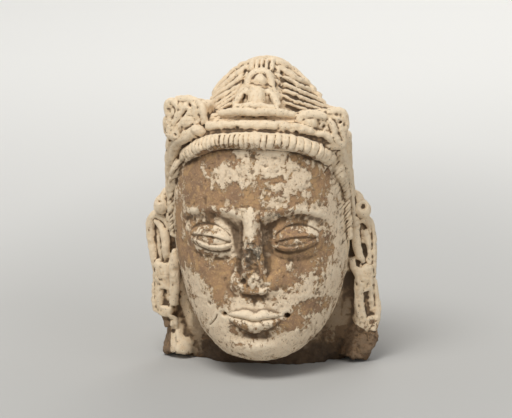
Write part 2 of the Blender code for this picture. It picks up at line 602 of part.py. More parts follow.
def cut_details(skin):
    """Tool cuts: between the locks, in the crown and the ears, and the slots in the lobes."""
    for line in lock_lines((np.arange(LOCKS - 1) + 0.5) / (LOCKS - 1), 1.6):
        skin.stroke(line, LOCK_CUT, -LOCK_CUT, taper=0.1)
    for side in (-1, 1):
        ear_at = ear_frame(side).at
        skin.stroke([ear_at(0.4, 73, 4.6), ear_at(1.6, 66, 4.6), ear_at(1.6, 58, 4.6)], 2.4, -1.8)
        skin.stroke([ear_at(1.0, 65, 4.2), ear_at(2.0, 60, 4.2)], 2.0, -1.6, taper=0)
        inside_rim = [ear_at(2.6, 77, 4.6), ear_at(5.0, 72, 4.6), ear_at(5.2, 64, 4.6), ear_at(4.2, 52, 4.6)]
        skin.stroke(inside_rim, 0.9, -1.1)
        skin.stroke([ear_at(-2.8, 55.5, 4.4), ear_at(-1.6, 51.5, 4.4)], 2.2, -1.8, taper=0)
        lean = 0.0 if side < 0 else 3.2
        slot = [ear_at(0, 39.4, 4.4), ear_at(0.3 + lean * 0.4, 32, 4.4), ear_at(0.4 + lean, 25, 4.4)]
        skin.stroke(slot, 3.9 if side < 0 else 3.5, -LOBE_SLOT_DEPTH, taper=0.05, sharp=2.2)
        skin.stroke([(side * 46, 4, 52), (side * 45, 3, 36), (side * 42, 2, 22)], 5, -3.0)
        armpit = [(side * 6.6 - 0.4, 0, 150.2), (side * 7.4 - 0.4, 0, 146.6)]
        skin.stroke(armpit, 1.3, -2.2, flat=True, taper=0)
    skin.stroke([(-37.2, -37, 142.9), (-40.8, -35, 138.2), (-44, -32, 133.2), (-46.6, -29, 129)], 1.5, -2.0)
    skin.stroke([(38.4, -39, 138), (40.4, -38, 139.9), (44, -36, 140.4)], 1.1, -1.3)
    skin.stroke([(38.4, -39, 138), (41, -38, 135.8), (42.8, -37, 133.4)], 1.1, -1.2)
    skin.stroke([(-20, -46, 141), (0.5, -48, 144), (12, -46, 142.6), (18, -44, 141)], 1.1, -1.0)
    holes = (
        (-36.5, 144.2, 1.4), (-44.1, 128, 0.9), (-34.6, 134.2, 0.8), (-48.9, 122.5, 0.8), (-51.5, 116.5, 0.8),
        (35.8, 134.2, 1.1), (44, 136, 1.0), (39.5, 130.6, 0.8), (-56, 86.6, 0.9), (55.9, 86, 1.9),
    )
    for x, z, radius in holes:
        skin.drill((x, z), radius, 2.6)
    skin.settle()


def break_away(skin):
    """The broken neck and lobe ends: rough, with a bite out of the left lobe's end."""
    x, y, z = skin.at.T
    rough = lumps(skin.at, 9, 11) + 0.6 * lumps(skin.at, 4.5, 12) + 0.35 * lumps(skin.at, 2.2, 13)
    under = (1 - step_up(z, 5, 17)) * step_up(y, -24, -12)
    skin.at += (BREAK_ROUGHNESS * rough * under)[:, None] * skin.out
    bite = step_up(-x, 50, 54) * (1 - step_up(z + 1.5 * rough, 21, 24)) * (y < 30)
    skin.at[:, 0] += 7.5 * bite
    corner = step_up(x, 44, 50) * (1 - step_up(z + 2 * rough, 5, 12))
    skin.at[:, 0] -= 5 * corner
    skin.settle()
    skin.stroke([(-58, 0, 47.5), (-66, 6, 48.5)], 0.9, -1.2, taper=0)
    skin.stroke([(-31, 0, 23.5), (-27, 0, 30)], 0.9, -1.2, flat=True, taper=0.2)


def weather(skin):
    """The soft unevenness of hand-pressed and worn clay."""
    skin.at += (0.25 * lumps(skin.at, 13, 21) + 0.12 * lumps(skin.at, 5, 22))[:, None] * skin.out
    skin.settle()


def fewer_faces(skin, triangles):
    """The same surface in that many triangles, most of them where it is finely worked."""
    mesh = skin.mesh
    holder = bpy.data.objects.new("holder", mesh)
    bpy.context.scene.collection.objects.link(holder)
    mesh.calc_loop_triangles()
    x, y, z = skin.at.T
    crown = (z > 119) & (y < -8)
    ears = (np.abs(x) > 50) & (np.abs(y - 4) < 14) & (z > 12)
    features = (y < -30) & (np.abs(x) < 40) & (z > 22) & (z < 98)
    plain = holder.vertex_groups.new(name="plain")
    worked = crown | ears | features
    plain.add(np.flatnonzero(~worked).tolist(), 1.0, "REPLACE")
    plain.add(np.flatnonzero(worked).tolist(), 0.5, "REPLACE")
    reduce = holder.modifiers.new("reduce", "DECIMATE")
    reduce.ratio = triangles / len(mesh.loop_triangles)
    reduce.use_collapse_triangulate = True
    reduce.vertex_group = plain.name
    reduce.vertex_group_factor = WORKED_CARE
    graph = bpy.context.evaluated_depsgraph_get()
    made = bpy.data.meshes.new_from_object(holder.evaluated_get(graph))
    bpy.data.objects.remove(holder)
    return made


def stand_on_floor(mesh):
    """Scales parts to metres and sets the head down, its lowest break worn flat at z = 0."""
    points = np.empty(len(mesh.vertices) * 3, np.float32)
    mesh.vertices.foreach_get("co", points)
    points = points.reshape(-1, 3).astype(float)
    points[:, 2] = np.maximum(points[:, 2], 0)
    low, high = points.min(axis=0), points.max(axis=0)
    points[:, :2] -= (low + high)[:2] / 2
    points *= HEAD_HEIGHT_M / high[2]
    mesh.vertices.foreach_set("co", points.astype(np.float32).ravel())
    mesh.update()


def fired_clay():
    """Pale buff clay, dry and rough."""
    material = bpy.data.materials.new("fired_clay")
    material.use_nodes = True
    shader = material.node_tree.nodes["Principled BSDF"]
    shader.inputs["Base Color"].default_value = (0.62, 0.47, 0.32, 1)
    shader.inputs["Roughness"].default_value = 0.92
    shader.inputs["Metallic"].default_value = 0.0
    return material


def main():
    for old in list(bpy.data.objects):
        bpy.data.objects.remove(old)
    skin = Surface(applied_forms(soft_masses()))
    model_face(skin)
    comb_back(skin)
    cut_details(skin)
    break_away(skin)
    weather(skin)
    mesh = fewer_faces(skin, TRIANGLES)
    stand_on_floor(mesh)
    mesh.name = NAME
    mesh.materials.append(fired_clay())
    head = bpy.data.objects.new(NAME, mesh)
    bpy.context.scene.collection.objects.link(head)
    mesh.shade_smooth()


main()
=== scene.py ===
"""A bodhisattva's head of fired clay with worn pale slip, laid out as an add-on.

It is made the way the clay was worked: soft masses, rolls and pellets laid on them, cuts made with
a tool, then breaks and wear. The clay is shaped in parts of the head's own height, 165 to the
whole, so that one part is about a millimetre. It looks along -Y, +Z is up, and at the end it is
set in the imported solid's box, in metres.
"""

import math

import bmesh
import bpy
import numpy as np
from bpy.props import FloatProperty, FloatVectorProperty, IntProperty, PointerProperty
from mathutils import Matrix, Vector


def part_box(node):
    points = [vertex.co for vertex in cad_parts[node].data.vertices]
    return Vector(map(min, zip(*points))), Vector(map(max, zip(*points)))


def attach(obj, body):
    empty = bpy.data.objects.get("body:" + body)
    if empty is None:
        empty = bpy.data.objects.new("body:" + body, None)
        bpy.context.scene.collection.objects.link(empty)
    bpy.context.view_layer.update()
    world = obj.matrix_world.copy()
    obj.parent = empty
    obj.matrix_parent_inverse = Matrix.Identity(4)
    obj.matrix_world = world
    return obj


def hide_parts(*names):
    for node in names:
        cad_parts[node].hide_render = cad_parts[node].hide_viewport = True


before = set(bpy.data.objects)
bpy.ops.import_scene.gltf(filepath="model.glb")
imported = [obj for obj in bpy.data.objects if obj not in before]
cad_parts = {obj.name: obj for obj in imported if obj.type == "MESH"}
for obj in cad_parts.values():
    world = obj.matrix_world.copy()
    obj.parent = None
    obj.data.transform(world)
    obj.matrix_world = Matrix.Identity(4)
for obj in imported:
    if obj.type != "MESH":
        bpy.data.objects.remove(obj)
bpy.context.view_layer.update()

bl_info = {
    "name": "Fired Clay Head",
    "version": (1, 0, 0),
    "blender": (4, 5, 0),
    "location": "3D View > Sidebar > Clay Head",
    "description": "Models a broken head of fired clay with a crown, a topknot and worn slip",
    "category": "Add Mesh",
}

NODE = "bodhisattva_head"
PIECE = "clay_head"

# The face, in thirds between the hairline and the chin
CHIN_Z = 10.0
HAIRLINE_Z = 124.0
THIRD = (HAIRLINE_Z - CHIN_Z) / 3
BROW_Z = HAIRLINE_Z - THIRD
NOSE_BASE_Z = CHIN_Z + THIRD
MOUTH_Z = NOSE_BASE_Z - THIRD / 3
EYE_Z = BROW_Z - THIRD / 4
FACE_HALF = 48.5
EYE_INNER, EYE_OUTER = 11.0, 36.0
EAR_X, EAR_Y, EAR_Z = 54.0, 9.0, 63.5
EAR_SHIFT = -1.2  # both ears stand this far to the left
EAR_SWEEP = 32.0  # degrees that the ear turns back from the front view
BLOCK_TURN = 23.0  # degrees that the crown's side blocks turn outwards
SWAY, SWAY_Z, SWAY_REACH = 2.2, 92.0, 34.0  # the head leans a little to the left at this height
SIDES = (-1, 1)
FRONT = np.array([0.0, -1.0, 0.0])

# Level sections from low to high: height, half width, front reach, back reach, y of the widest line
SKULL = (
    (CHIN_Z, 9, 10, 8, -30),
    (CHIN_Z + 2.5, 20, 24, 24, -21),
    (CHIN_Z + 8, 28, 34, 34, -14),
    (CHIN_Z + 17, 36, 41, 40, -8),
    (CHIN_Z + 30, 42, 46, 45, -3),
    (CHIN_Z + 46, 46, 49, 48, 0),
    (CHIN_Z + 64, FACE_HALF - 0.5, 51, 49, 1),
    (CHIN_Z + 82, FACE_HALF - 0.5, 52, 50, 1),
    (CHIN_Z + 98, FACE_HALF - 2, 51.5, 50, 1),
    (CHIN_Z + 110, FACE_HALF - 4.5, 50, 48, 1),
    (CHIN_Z + 120, FACE_HALF - 8, 46.5, 45, 1),
    (CHIN_Z + 130, FACE_HALF - 16, 38, 38, 1),
)
BAND = (
    (113, 43, 44, 30, 0),
    (120, 45.5, 49, 30, 0),
    (131, 45, 48.5, 28, 0),
    (135, 43, 46.5, 26, 0),
    (138, 39, 42, 22, 0),
    (139.5, 30, 33, 16, 0),
)
NECK = ((-3, 33, 15, 26, 12), (14, 34, 19, 26, 12), (40, 35, 29, 28, 10), (60, 36, 32, 30, 8))
NAPE = (
    (-3, 45, 13, 22, 22),
    (6, 50, 17, 24, 22),
    (20, 52, 19, 26, 21),
    (45, 52, 22, 29, 18),
    (75, 50, 24, 33, 14),
    (100, 46.5, 26, 34, 10),
    (116, 44, 24, 33, 10),
    (128, 40, 24, 29, 8),
    (138, 31, 20, 23, 6),
    (146, 21, 12, 15, 5),
    (151, 10, 6, 6, 4),
)
TOPKNOT = (
    (118, 40, 40, 40, 2),
    (130, 37, 38, 36, 2),
    (138, 32.2, 34.6, 32, 2),
    (147, 25.6, 29, 26.5, 2.5),
    (155, 18.8, 22.6, 20.4, 3),
    (160.5, 13.0, 16.6, 15, 3.5),
    (163.4, 8.4, 11.4, 10, 4),
    (164.6, 4.5, 6.5, 5.5, 4),
)
ROUNDNESS = 0.94
SQUARE_ROUNDNESS = 0.72
# Rolls of hair on one side, behind the ear and from the crown to the ear: place and radius
HAIR_FALL = ((48, 16, 44, 8), (51, 17, 24, 9), (50, 14, 2, 12))
HAIR_AT_TEMPLE = ((41.5, -13, 126, 7.6), (44.6, -6, 108, 5.6), (47.4, 0, 90, 4.6), (49, 4, 76, 4.8))
# Straps that run down the temples outside the cord
STRAPS = (
    ((-33, -38.5, 130.6, 2.8), (-39, -33.5, 127, 3.2), (-44.6, -25, 121.5, 2.9), (-47.6, -17, 110, 1.6)),
    ((-47.5, -19, 131, 2.6), (-49.3, -13, 117, 2.6), (-49.9, -6, 103, 2.2), (-50.2, -1, 90, 1.8)),
    (
        (37, -34, 131, 1.8), (43.6, -26, 122.5, 1.9), (48.0, -14, 106, 2.1), (49.6, -5, 90, 2.0),
        (50.0, -1, 80, 1.5),
    ),
    ((39.0, -31, 127, 1.0), (44.0, -24, 117, 1.2), (46.8, -17, 106, 0.9)),
)
# The cord's middle line on one half of the hairline: x and z, from the forehead down
HAIRLINE = (
    (0, 128.2), (13, 127.6), (24, 125.3), (34, 119.9), (41.8, 111), (46.4, 98), (47.6, 82), (47.6, 70),
)
# Lines combed between the locks on each side of the topknot, from the tie down: x and z
COMBED = (
    (
        ((-6.9, 163.6), (-13.5, 161.3), (-19.8, 155.5), (-25.6, 149.0), (-27.9, 143.9)),
        ((-7.3, 162.4), (-15.0, 158.1), (-22.3, 151.0), (-26.7, 145.7)),
        ((-7.5, 160.1), (-13.7, 155.3), (-20.6, 149.4), (-26.7, 144.1)),
        ((-7.7, 156.9), (-14.4, 151.7), (-22.6, 146.5), (-27.2, 142.4)),
        ((-8.5, 153.8), (-14.7, 148.7), (-22.1, 143.6), (-27.1, 140.2)),
        ((-10.4, 150.6), (-16.7, 145.7), (-22.6, 141.1), (-26.7, 137.8)),
        ((-12.6, 146.8), (-18.0, 143.1), (-22.4, 139.4), (-26.1, 135.9)),
        ((-14.9, 143.1), (-19.3, 140.1), (-23.0, 137.4), (-25.6, 135.0)),
    ),
    (
        ((4.8, 164.2), (10.8, 162.8), (15.9, 158.4), (21.7, 152.9)),
        ((5.8, 162.4), (12.4, 159.6), (19.3, 154.4), (25.7, 148.9)),
        ((6.2, 159.9), (13.0, 156.6), (20.5, 151.6), (29.4, 146.0)),
        ((7.3, 156.9), (14.1, 153.3), (21.5, 148.9), (31.6, 142.4)),
        ((8.7, 153.5), (15.8, 150.1), (23.8, 145.6), (33.4, 139.6)),
        ((9.7, 150.4), (16.8, 146.9), (24.8, 142.8), (34.1, 137.1)),
        ((11.4, 147.2), (17.7, 144.0), (25.1, 140.7), (33.0, 136.2)),
        ((13.4, 143.8), (19.3, 141.0), (25.3, 138.5), (30.4, 136.3)),
    ),
)
TIE_STRANDS = (-5.6, -3.0, -0.4, 2.2, 4.8)
NOTCH_TURNS = np.radians((-78, -40, 0, 40, 78))  # how far a notch reaches round the cord
# Places on the front where slip holds (1) or has flaked off (-1): x, z, reach across and up
FLAKES = (
    (1, 10, 115, 24, 10), (-1, -34, 109, 8, 9), (-1, -11, 116, 11, 5), (-1, -9, 102, 6, 5),
    (-1, 2, 99, 4, 6.5), (-1, 25, 118, 7, 4), (-1, 36, 106, 4, 7), (-1, -24, 97, 12, 6),
    (1, -14, 75, 6, 7), (-1, -35, 65, 8, 8), (-1, 26, 69, 15, 9), (-1, -22, 56, 7, 7),
    (1, -35, 54, 4.5, 4.5), (1, 26, 50, 8, 7), (-1, 15, 57, 6, 6.5), (-1, 30, 40, 5.5, 5),
    (-1, -9, 28, 9, 5.5), (-1, 16, 31, 7, 4), (1, 7, 19, 20, 7), (1, -30, 39, 5, 6),
    (1, -21, 27, 6, 8), (-1, 38, 37, 3.5, 13), (1, -5, 90, 6.5, 5), (1, 35, 86, 5, 7),
    (-1, -43, 75, 3, 11), (1, 43, 65, 3.5, 21), (-1, -17, 47, 4.5, 3.5), (1, 0, 36, 13, 7),
    (1, 40, 43, 4, 13), (1, 33, 26, 6, 8), (-1, 6, 24, 4, 2.5), (1, -27, 72, 4, 5),
    (1, 17, 62, 4, 3), (-1, -37, 26, 3, 6), (1, -16, 108, 3, 4), (-1, 14, 108, 3, 2.5),
)
FLAKE_WEIGHT, FLAKE_SPREAD = 0.26, 1.15
HAIR_SLIP = 0.42  # how much better the slip holds away from the face
SLIP_EDGE, SLIP_THICKNESS = (0.46, 0.54), 0.28
LOBE_BITE, CORNER_LOSS = 4.6, 5  # how much is broken off the lobe's end and the neck's corner
# Rolls of the left ear and the right one: places on the ear's face and the thickness there
EAR_RIMS = {
    -1: (
        (-5.6, 71, 2.6, 1.4), (-3.6, 76.4, 3.2, 2.2), (1.6, 78.4, 3.4, 2.6), (6.2, 75.0, 3.0, 2.8),
        (7.4, 67, 2.8, 2.7), (6.4, 57, 2.8, 2.5), (5.0, 47, 2.6, 2.2),
    ),
    1: (
        (-5.8, 72, 2.8, 1.6), (-3.8, 76.8, 3.2, 2.2), (0.4, 78.6, 3.4, 2.4), (4.6, 75.2, 3.0, 2.5),
        (6.0, 67, 2.8, 2.5), (5.8, 57, 2.8, 2.3), (5.2, 47, 2.8, 2.1),
    ),
}
EAR_FOLDS = {
    -1: (
        (2.0, 75.6, 3.4, 2.2), (-2.2, 70.5, 4.0, 2.5), (-3.8, 64, 4.2, 2.4), (-3.4, 57, 4.0, 2.1),
        (-2.6, 51.5, 3.4, 1.5),
    ),
    1: ((-3.8, 75.4, 3.6, 2.3), (-5.0, 68.5, 4.0, 2.5), (-3.8, 61, 4.2, 2.4), (-1.4, 54.5, 4.0, 2.0)),
}
LOBE_REACH = {-1: 1.8, 1: 4.0}  # how far the lobe's end swings out
# Cuts in each ear: places on its face, width, depth, and the share of the length that fades
EAR_CUTS = {
    -1: (
        (((3.6, 73, 5), (1.4, 67, 5), (0.2, 60, 4.6), (0, 51, 4.2)), 1.5, 1.9, 0.15),
        (((0.2, 62, 4.4), (0, 51.5, 4.0)), 1.7, 1.8, 0.15),
    ),
    1: (
        (((-1.6, 75, 5), (-1.4, 68, 5), (0, 61, 4.6)), 1.5, 1.6, 0.15),
        (((-0.4, 63.5, 4.4), (0.6, 59, 4.2)), 2.4, 2.4, 0),
        (((4.0, 76, 5), (5.0, 70, 5), (5.0, 61, 4.8)), 0.9, 1.2, 0.15),
    ),
}
CUTS_IN_BOTH_EARS = (
    (((-3.6, 55, 4.4), (-2.0, 50.6, 4.4)), 2.6, 1.9, 0),
    (((-7.4, 73, 2.4), (-7.8, 64, 2.4), (-7.0, 57, 2.4)), 2.6, 1.8, 0.15),
)
LOBE_SLOTS = {
    -1: (((-1.8, 38.6, 4.0), (-1.6, 33, 4.0), (-1.4, 28, 4.0)), 4.6),
    1: (((0, 39.4, 4.0), (1.4, 33, 4.0), (3.8, 24, 4.0)), 4.2),
}
# Lights of the stage: place, size, share of the key light's power, tint
LIGHTS = (
    ((-0.3, -0.95, 1.4), 0.85, 1.0, (1.0, 0.985, 0.96)),
    ((0.2, 1.9, 1.5), 1.2, 0.95, (1.0, 0.99, 0.97)),
    ((1.2, -1.2, 0.8), 1.2, 0.22, (0.98, 0.99, 1.0)),
)
SURROUNDING_LIGHT = 0.38
VIEW_CENTRE = Vector((-0.0032, 0.006, 0.0825))
SENSOR_WIDTH = 36


# Numbers along paths and over the surface


def smooth_through(keys, count):
    """Rows of numbers on a smooth curve through the key rows."""
    keys = np.asarray(keys, float)
    padded = np.vstack([2 * keys[0] - keys[1], keys, 2 * keys[-1] - keys[-2]])
    t = np.linspace(0, len(keys) - 1, count)
    i = np.minimum(t.astype(int), len(keys) - 2)
    u = (t - i)[:, None]
    a, b, c, d = (padded[i + k] for k in range(4))
    second = 2 * a - 5 * b + 4 * c - d
    third = 3 * b - a - 3 * c + d
    return 0.5 * (2 * b + (c - a) * u + second * u**2 + third * u**3)


def evenly(path, step):
    """Points at even distances along a path."""
    path = np.asarray(path, float)
    run = np.concatenate([[0], np.cumsum(np.linalg.norm(np.diff(path, axis=0), axis=1))])
    marks = np.linspace(0, run[-1], max(2, int(round(run[-1] / step)) + 1))
    return np.stack([np.interp(marks, run, path[:, k]) for k in range(path.shape[1])], axis=1)


def step_up(value, low, high):
    """0 below low, 1 above high, and a smooth rise between them."""
    t = np.clip((value - low) / (high - low), 0, 1)
    return t * t * (3 - 2 * t)


def hill(u, v, at, size):
    """A soft round rise of height 1 about a point, with its own reach each way."""
    return np.exp(-(((u - at[0]) / size[0]) ** 2) - ((v - at[1]) / size[1]) ** 2)


def ridge(gap, width):
    """A soft rise of height 1 along a line, for the distance from it."""
    return np.exp(-((gap / width) ** 2))


def dome(u, v, at, size):
    """A rise of height 1 that ends level at its own edge."""
    return np.clip(1 - ((u - at[0]) / size[0]) ** 2 - ((v - at[1]) / size[1]) ** 2, 0, 1) ** 1.5


def lumps(points, size, seed):
    """Smooth random values from -1 to 1 over space, with lumps of about the given size."""
    lattice = np.random.default_rng(seed).uniform(-1, 1, (32, 32, 32))
    scaled = np.asarray(points) / size + 1000
    cell = np.floor(scaled).astype(int)
    part = scaled - cell
    part = part * part * (3 - 2 * part)
    value = np.zeros(len(scaled))
    for corner in np.ndindex(2, 2, 2):
        index = (cell + corner) % 32
        weight = np.prod(np.where(corner, part, 1 - part), axis=1)
        value += weight * lattice[index[:, 0], index[:, 1], index[:, 2]]
    return value


def layered(points, *layers, start=0.0):
    """Lumps of several sizes over one another, each layer an amount, a size and a seed."""
    return sum((amount * lumps(points, size, seed) for amount, size, seed in layers), start)


def front_y(sections, x, z):
    """The y of a lofted mass's front at a place in the front view."""
    rows = smooth_through(sections, 200)
    half, front, middle = (np.interp(z, rows[:, 0], rows[:, k]) for k in (1, 2, 4))
    power = 2 / ROUNDNESS
    share = np.clip(np.abs(x) / half, 0, 0.995)
    return float(middle - front * (1 - share**power) ** (1 / power))


def on_head(x, z, lift):
    """A point that stands lift in front of the forehead or the crown's band."""
    y = front_y(SKULL, x, z) if z < 112 else front_y(BAND, x, z)
    return (x, y - lift, z)


def on_topknot(x, z, lift):
    return (x, front_y(TOPKNOT, x, z) - lift, z)


# Clay that is added with Blender's own tools


def deselect_all():
    if bpy.context.object and bpy.context.object.mode != "OBJECT":
        bpy.ops.object.mode_set(mode="OBJECT")
    bpy.ops.object.select_all(action="DESELECT")


def select_only(*objects):
    deselect_all()
    for obj in objects:
        obj.select_set(True)
    bpy.context.view_layer.objects.active = objects[0]


def apply_modifier(kind, **settings):
    """Adds a modifier to the active object, sets it and applies it."""
    bpy.ops.object.modifier_add(type=kind)
    modifier = bpy.context.object.modifiers[-1]
    for name, value in settings.items():
        setattr(modifier, name, value)
    bpy.ops.object.modifier_apply(modifier=modifier.name)


def read(collection, name, kind, width):
    """A column of a mesh as rows of the given width."""
    values = np.empty(len(collection) * width, kind)
    collection.foreach_get(name, values)
    return values.reshape(-1, width)


class ClayPile:
    """Closed lumps of clay in one mesh: lofts, pellets and blocks, and rolls that join them."""

    def __init__(self, name):
        deselect_all()
        bpy.ops.object.add(type="MESH", enter_editmode=True, location=(0, 0, 0))
        self.clay = bpy.context.object
        self.clay.name = name
        self.rolls = []

    def loft(self, sections, roundness=ROUNDNESS, sides=72, rows=40):
        """A closed body through level sections: a ring for each, bridged, with both ends filled."""
        turn = np.linspace(0, 2 * math.pi, sides, endpoint=False)
        c, s = (np.sign(k) * np.abs(k) ** roundness for k in (np.cos(turn), np.sin(turn)))
        rings = smooth_through(sections, rows)
        for height, _, _, _, middle in rings:
            bpy.ops.mesh.primitive_circle_add(
                vertices=sides, radius=1, fill_type="NOTHING", calc_uvs=False, location=(0, middle, height)
            )
        cage = bmesh.from_edit_mesh(self.clay.data)
        cage.verts.ensure_lookup_table()
        added = cage.verts[-sides * rows :]
        for i, (height, half, front, back, middle) in enumerate(rings):
            for vertex, across, along in zip(added[i * sides : (i + 1) * sides], c, s):
                reach = front if along < 0 else back
                vertex.co = (half * across, middle + reach * along, height)
                vertex.select = True
        cage.select_flush(True)
        bmesh.update_edit_mesh(self.clay.data)
        bpy.ops.mesh.bridge_edge_loops()
        bpy.ops.mesh.fill_holes(sides=0)

    def pellet(self, at, size, turn=(0, 0, 0)):
        """An egg of clay with its own half sizes, turned by degrees about X, Y, then Z."""
        bpy.ops.mesh.primitive_uv_sphere_add(
            segments=24, ring_count=14, radius=1, calc_uvs=False,
            location=at, rotation=np.radians(turn), scale=size,
        )

    def block(self, at, size, turn=(0, 0, 0), rounding=0.6):
        """A squared lump with rounded edges, given by its half sizes."""
        bpy.ops.mesh.primitive_cube_add(
            size=2, calc_uvs=False, location=at, rotation=np.radians(turn), scale=size
        )
        bpy.ops.mesh.bevel(offset=rounding * min(size), segments=5, affect="EDGES")

    def roll(self, keys):
        """A roll of clay that bends smoothly through points, each given with its thickness there."""
        self.rolls.append(keys)

    def finished(self):
        """Leaves edit mode, makes the rolls and joins them to the rest."""
        bpy.ops.object.mode_set(mode="OBJECT")
        if self.rolls:
            bpy.ops.curve.primitive_bezier_curve_add(location=(0, 0, 0))
            bent = bpy.context.object
            bent.data.splines.clear()
            bent.data.bevel_depth = 1.0
            bent.data.bevel_resolution = 4
            bent.data.resolution_u = 10
            bent.data.use_fill_caps = True
            for keys in self.rolls:
                spline = bent.data.splines.new("BEZIER")
                spline.bezier_points.add(len(keys) - 1)
                for point, (x, y, z, radius) in zip(spline.bezier_points, keys):
                    point.co = (x, y, z)
                    point.radius = radius
                    point.handle_left_type = point.handle_right_type = "AUTO"
            bpy.ops.object.convert(target="MESH")
            select_only(self.clay, bent)
            bpy.ops.object.join()
        return self.clay


def fuse(pieces, grain, smoothing):
    """Joins closed lumps into one skin of even grain."""
    select_only(*pieces)
    if len(pieces) > 1:
        bpy.ops.object.join()
    apply_modifier("REMESH", mode="VOXEL", voxel_size=grain)
    apply_modifier("SMOOTH", factor=0.5, iterations=smoothing)
    return bpy.context.object


class TurnedFrame:
    """Places on an upright face: across it, away from the head's middle, up, and out of it."""

    def __init__(self, middle, side, turn):
        angle = math.radians(turn)
        self.middle = np.array(middle)
        self.across = np.array([side * math.cos(angle), math.sin(angle), 0])
        self.out = np.array([side * math.sin(angle), -math.cos(angle), 0])
        self.turn = side * turn

    def at(self, across, up, lift):
        return self.middle + self.across * across + self.out * lift + np.array([0, 0, up])

    def pellet(self, pile, place, size, tilt=0):
        pile.pellet(self.at(*place), size, (0, tilt, self.turn))

    def block(self, pile, place, size, rounding):
        pile.block(self.at(*place), size, (0, 0, self.turn), rounding)

    def roll(self, pile, *keys):
        """A roll of clay on the face, through places each given with its thickness."""
        pile.roll([(*self.at(across, up, lift), radius) for across, up, lift, radius in keys])

    def volute(self, pile, middle, start, turns, size, radius):
        """A curled roll on the face."""
        shares = np.linspace(0, 1, 14)
        angles = start + turns * 2 * math.pi * shares
        reach = size * (1 - 0.6 * shares)
        across = middle[0] + reach * np.cos(angles)
        up = middle[1] + reach * np.sin(angles)
        thick = radius * (1 - 0.2 * shares)
        self.roll(pile, *((a, b, middle[2], c) for a, b, c in zip(across, up, thick)))


def ear_frame(side):
    return TurnedFrame((side * EAR_X + EAR_SHIFT, EAR_Y, 0), side, EAR_SWEEP)


def block_frame(side):
    """The face of the crown's block over one temple."""
    return TurnedFrame((-39.8, -27, 137) if side < 0 else (35.6, -28, 132), side, BLOCK_TURN)


class Surface:
    """The clay's skin while it is worked: its points and their outward normals."""

    def __init__(self, mesh):
        self.mesh = mesh
        self.at = read(mesh.vertices, "co", np.float32, 3).astype(float)
        self.edges = read(mesh.edges, "vertices", np.int32, 2)
        self.settle()

    def settle(self):
        """Writes the points back and reads the normals again."""
        self.mesh.vertices.foreach_set("co", self.at.astype(np.float32).ravel())
        self.mesh.update()
        self.out = read(self.mesh.vertex_normals, "vector", np.float32, 3).astype(float)

    def stroke(self, keys, radius, height, flat=False, taper=0.15, sharp=1.0):
        """Raises the skin along a path, or cuts it where height is negative.

        A flat stroke is measured in the front view alone, moves points along -Y and leaves those
        that don't face the front. The stroke fades over a taper share of its length at each end.
        """
        path = smooth_through(keys, 10 * len(keys)) if len(keys) > 2 else np.asarray(keys, float)
        seen = np.array([0, 2]) if flat else np.array([0, 1, 2])
        line = path[:, seen]
        points = self.at[:, seen]
        reach = radius * 1.6
        inside = ((points > line.min(0) - reach) & (points < line.max(0) + reach)).all(axis=1)
        if flat:
            inside &= (self.out[:, 1] < -0.1) & (self.at[:, 1] < 0)
        chosen = np.flatnonzero(inside)
        if not len(chosen):
            return
        points = points[chosen]
        best = np.full(len(chosen), 1e9)
        share = np.zeros(len(chosen))
        for i, (a, b) in enumerate(zip(line[:-1], line[1:])):
            way = b - a
            t = np.clip(((points - a) @ way) / max(way @ way, 1e-9), 0, 1)
            gap = np.linalg.norm(points - a - t[:, None] * way, axis=1)
            closer = gap < best
            best[closer] = gap[closer]
            share[closer] = (i + t[closer]) / (len(line) - 1)
        fall = np.exp(-((best / (0.62 * radius)) ** (2 * sharp)))
        if taper:
            fall *= step_up(share, 0, taper) * step_up(1 - share, 0, taper)
        way = FRONT if flat else self.out[chosen]
        self.at[chosen] += (height * fall)[:, None] * way

    def drill(self, at, radius, depth):
        """A small round hole pushed straight in from the front."""
        gap = np.hypot(self.at[:, 0] - at[0], self.at[:, 2] - at[1])
        hole = np.exp(-((gap / radius) ** 4)) * (self.out[:, 1] < 0.1) * (self.at[:, 1] < 3)
        self.at[:, 1] += depth * hole

    def sunken(self, rounds):
        """How far each point lies below the average of its surroundings."""
        count = np.bincount(self.edges.ravel(), minlength=len(self.at))[:, None]
        soft = self.at
        for _ in range(rounds):
            total = np.empty_like(soft)
            for axis in range(3):
                there = soft[self.edges, axis]
                total[:, axis] = np.bincount(self.edges[:, 0], there[:, 1], len(soft))
                total[:, axis] += np.bincount(self.edges[:, 1], there[:, 0], len(soft))
            soft = total / count
        return ((soft - self.at) * self.out).sum(axis=1)


# The soft masses and what is laid on them


def soft_masses(grain):
    """Skull, band, neck, hair and the flat of each ear, blended into one another."""
    pile = ClayPile("masses")
    for sections in (SKULL, BAND, NECK, TOPKNOT):
        pile.loft(sections)
    pile.loft(NAPE, SQUARE_ROUNDNESS)
    for side in SIDES:
        sweep = side * EAR_SWEEP
        pile.pellet((side * (EAR_X - 0.5) + EAR_SHIFT, EAR_Y + 1, EAR_Z), (7.2, 5.0, 16), (0, 0, sweep))
        pile.pellet((side * 50, EAR_Y + 5, EAR_Z + 4), (7, 7, 20))
        pile.block((side * 54.6 + EAR_SHIFT, 8.6, 35), (5.6, 4.6, 19), (6, side * -4, sweep))
        for keys in (HAIR_FALL, HAIR_AT_TEMPLE):
            pile.roll([(side * x, y, z, radius) for x, y, z, radius in keys])
    return fuse([pile.finished()], 1.6 * grain, 5)


def cord_line(step):
    """The cord's middle line over the forehead, from the left ear to the right one."""
    half = smooth_through(HAIRLINE, 120)
    return evenly(np.vstack([half[::-1] * (-1, 1), half[1:]]), step)


def cord_radius(sizes, z):
    down = step_up(HAIRLINE_Z - z, 4, 34)
    return sizes.cord_radius + (sizes.cord_side_radius - sizes.cord_radius) * down


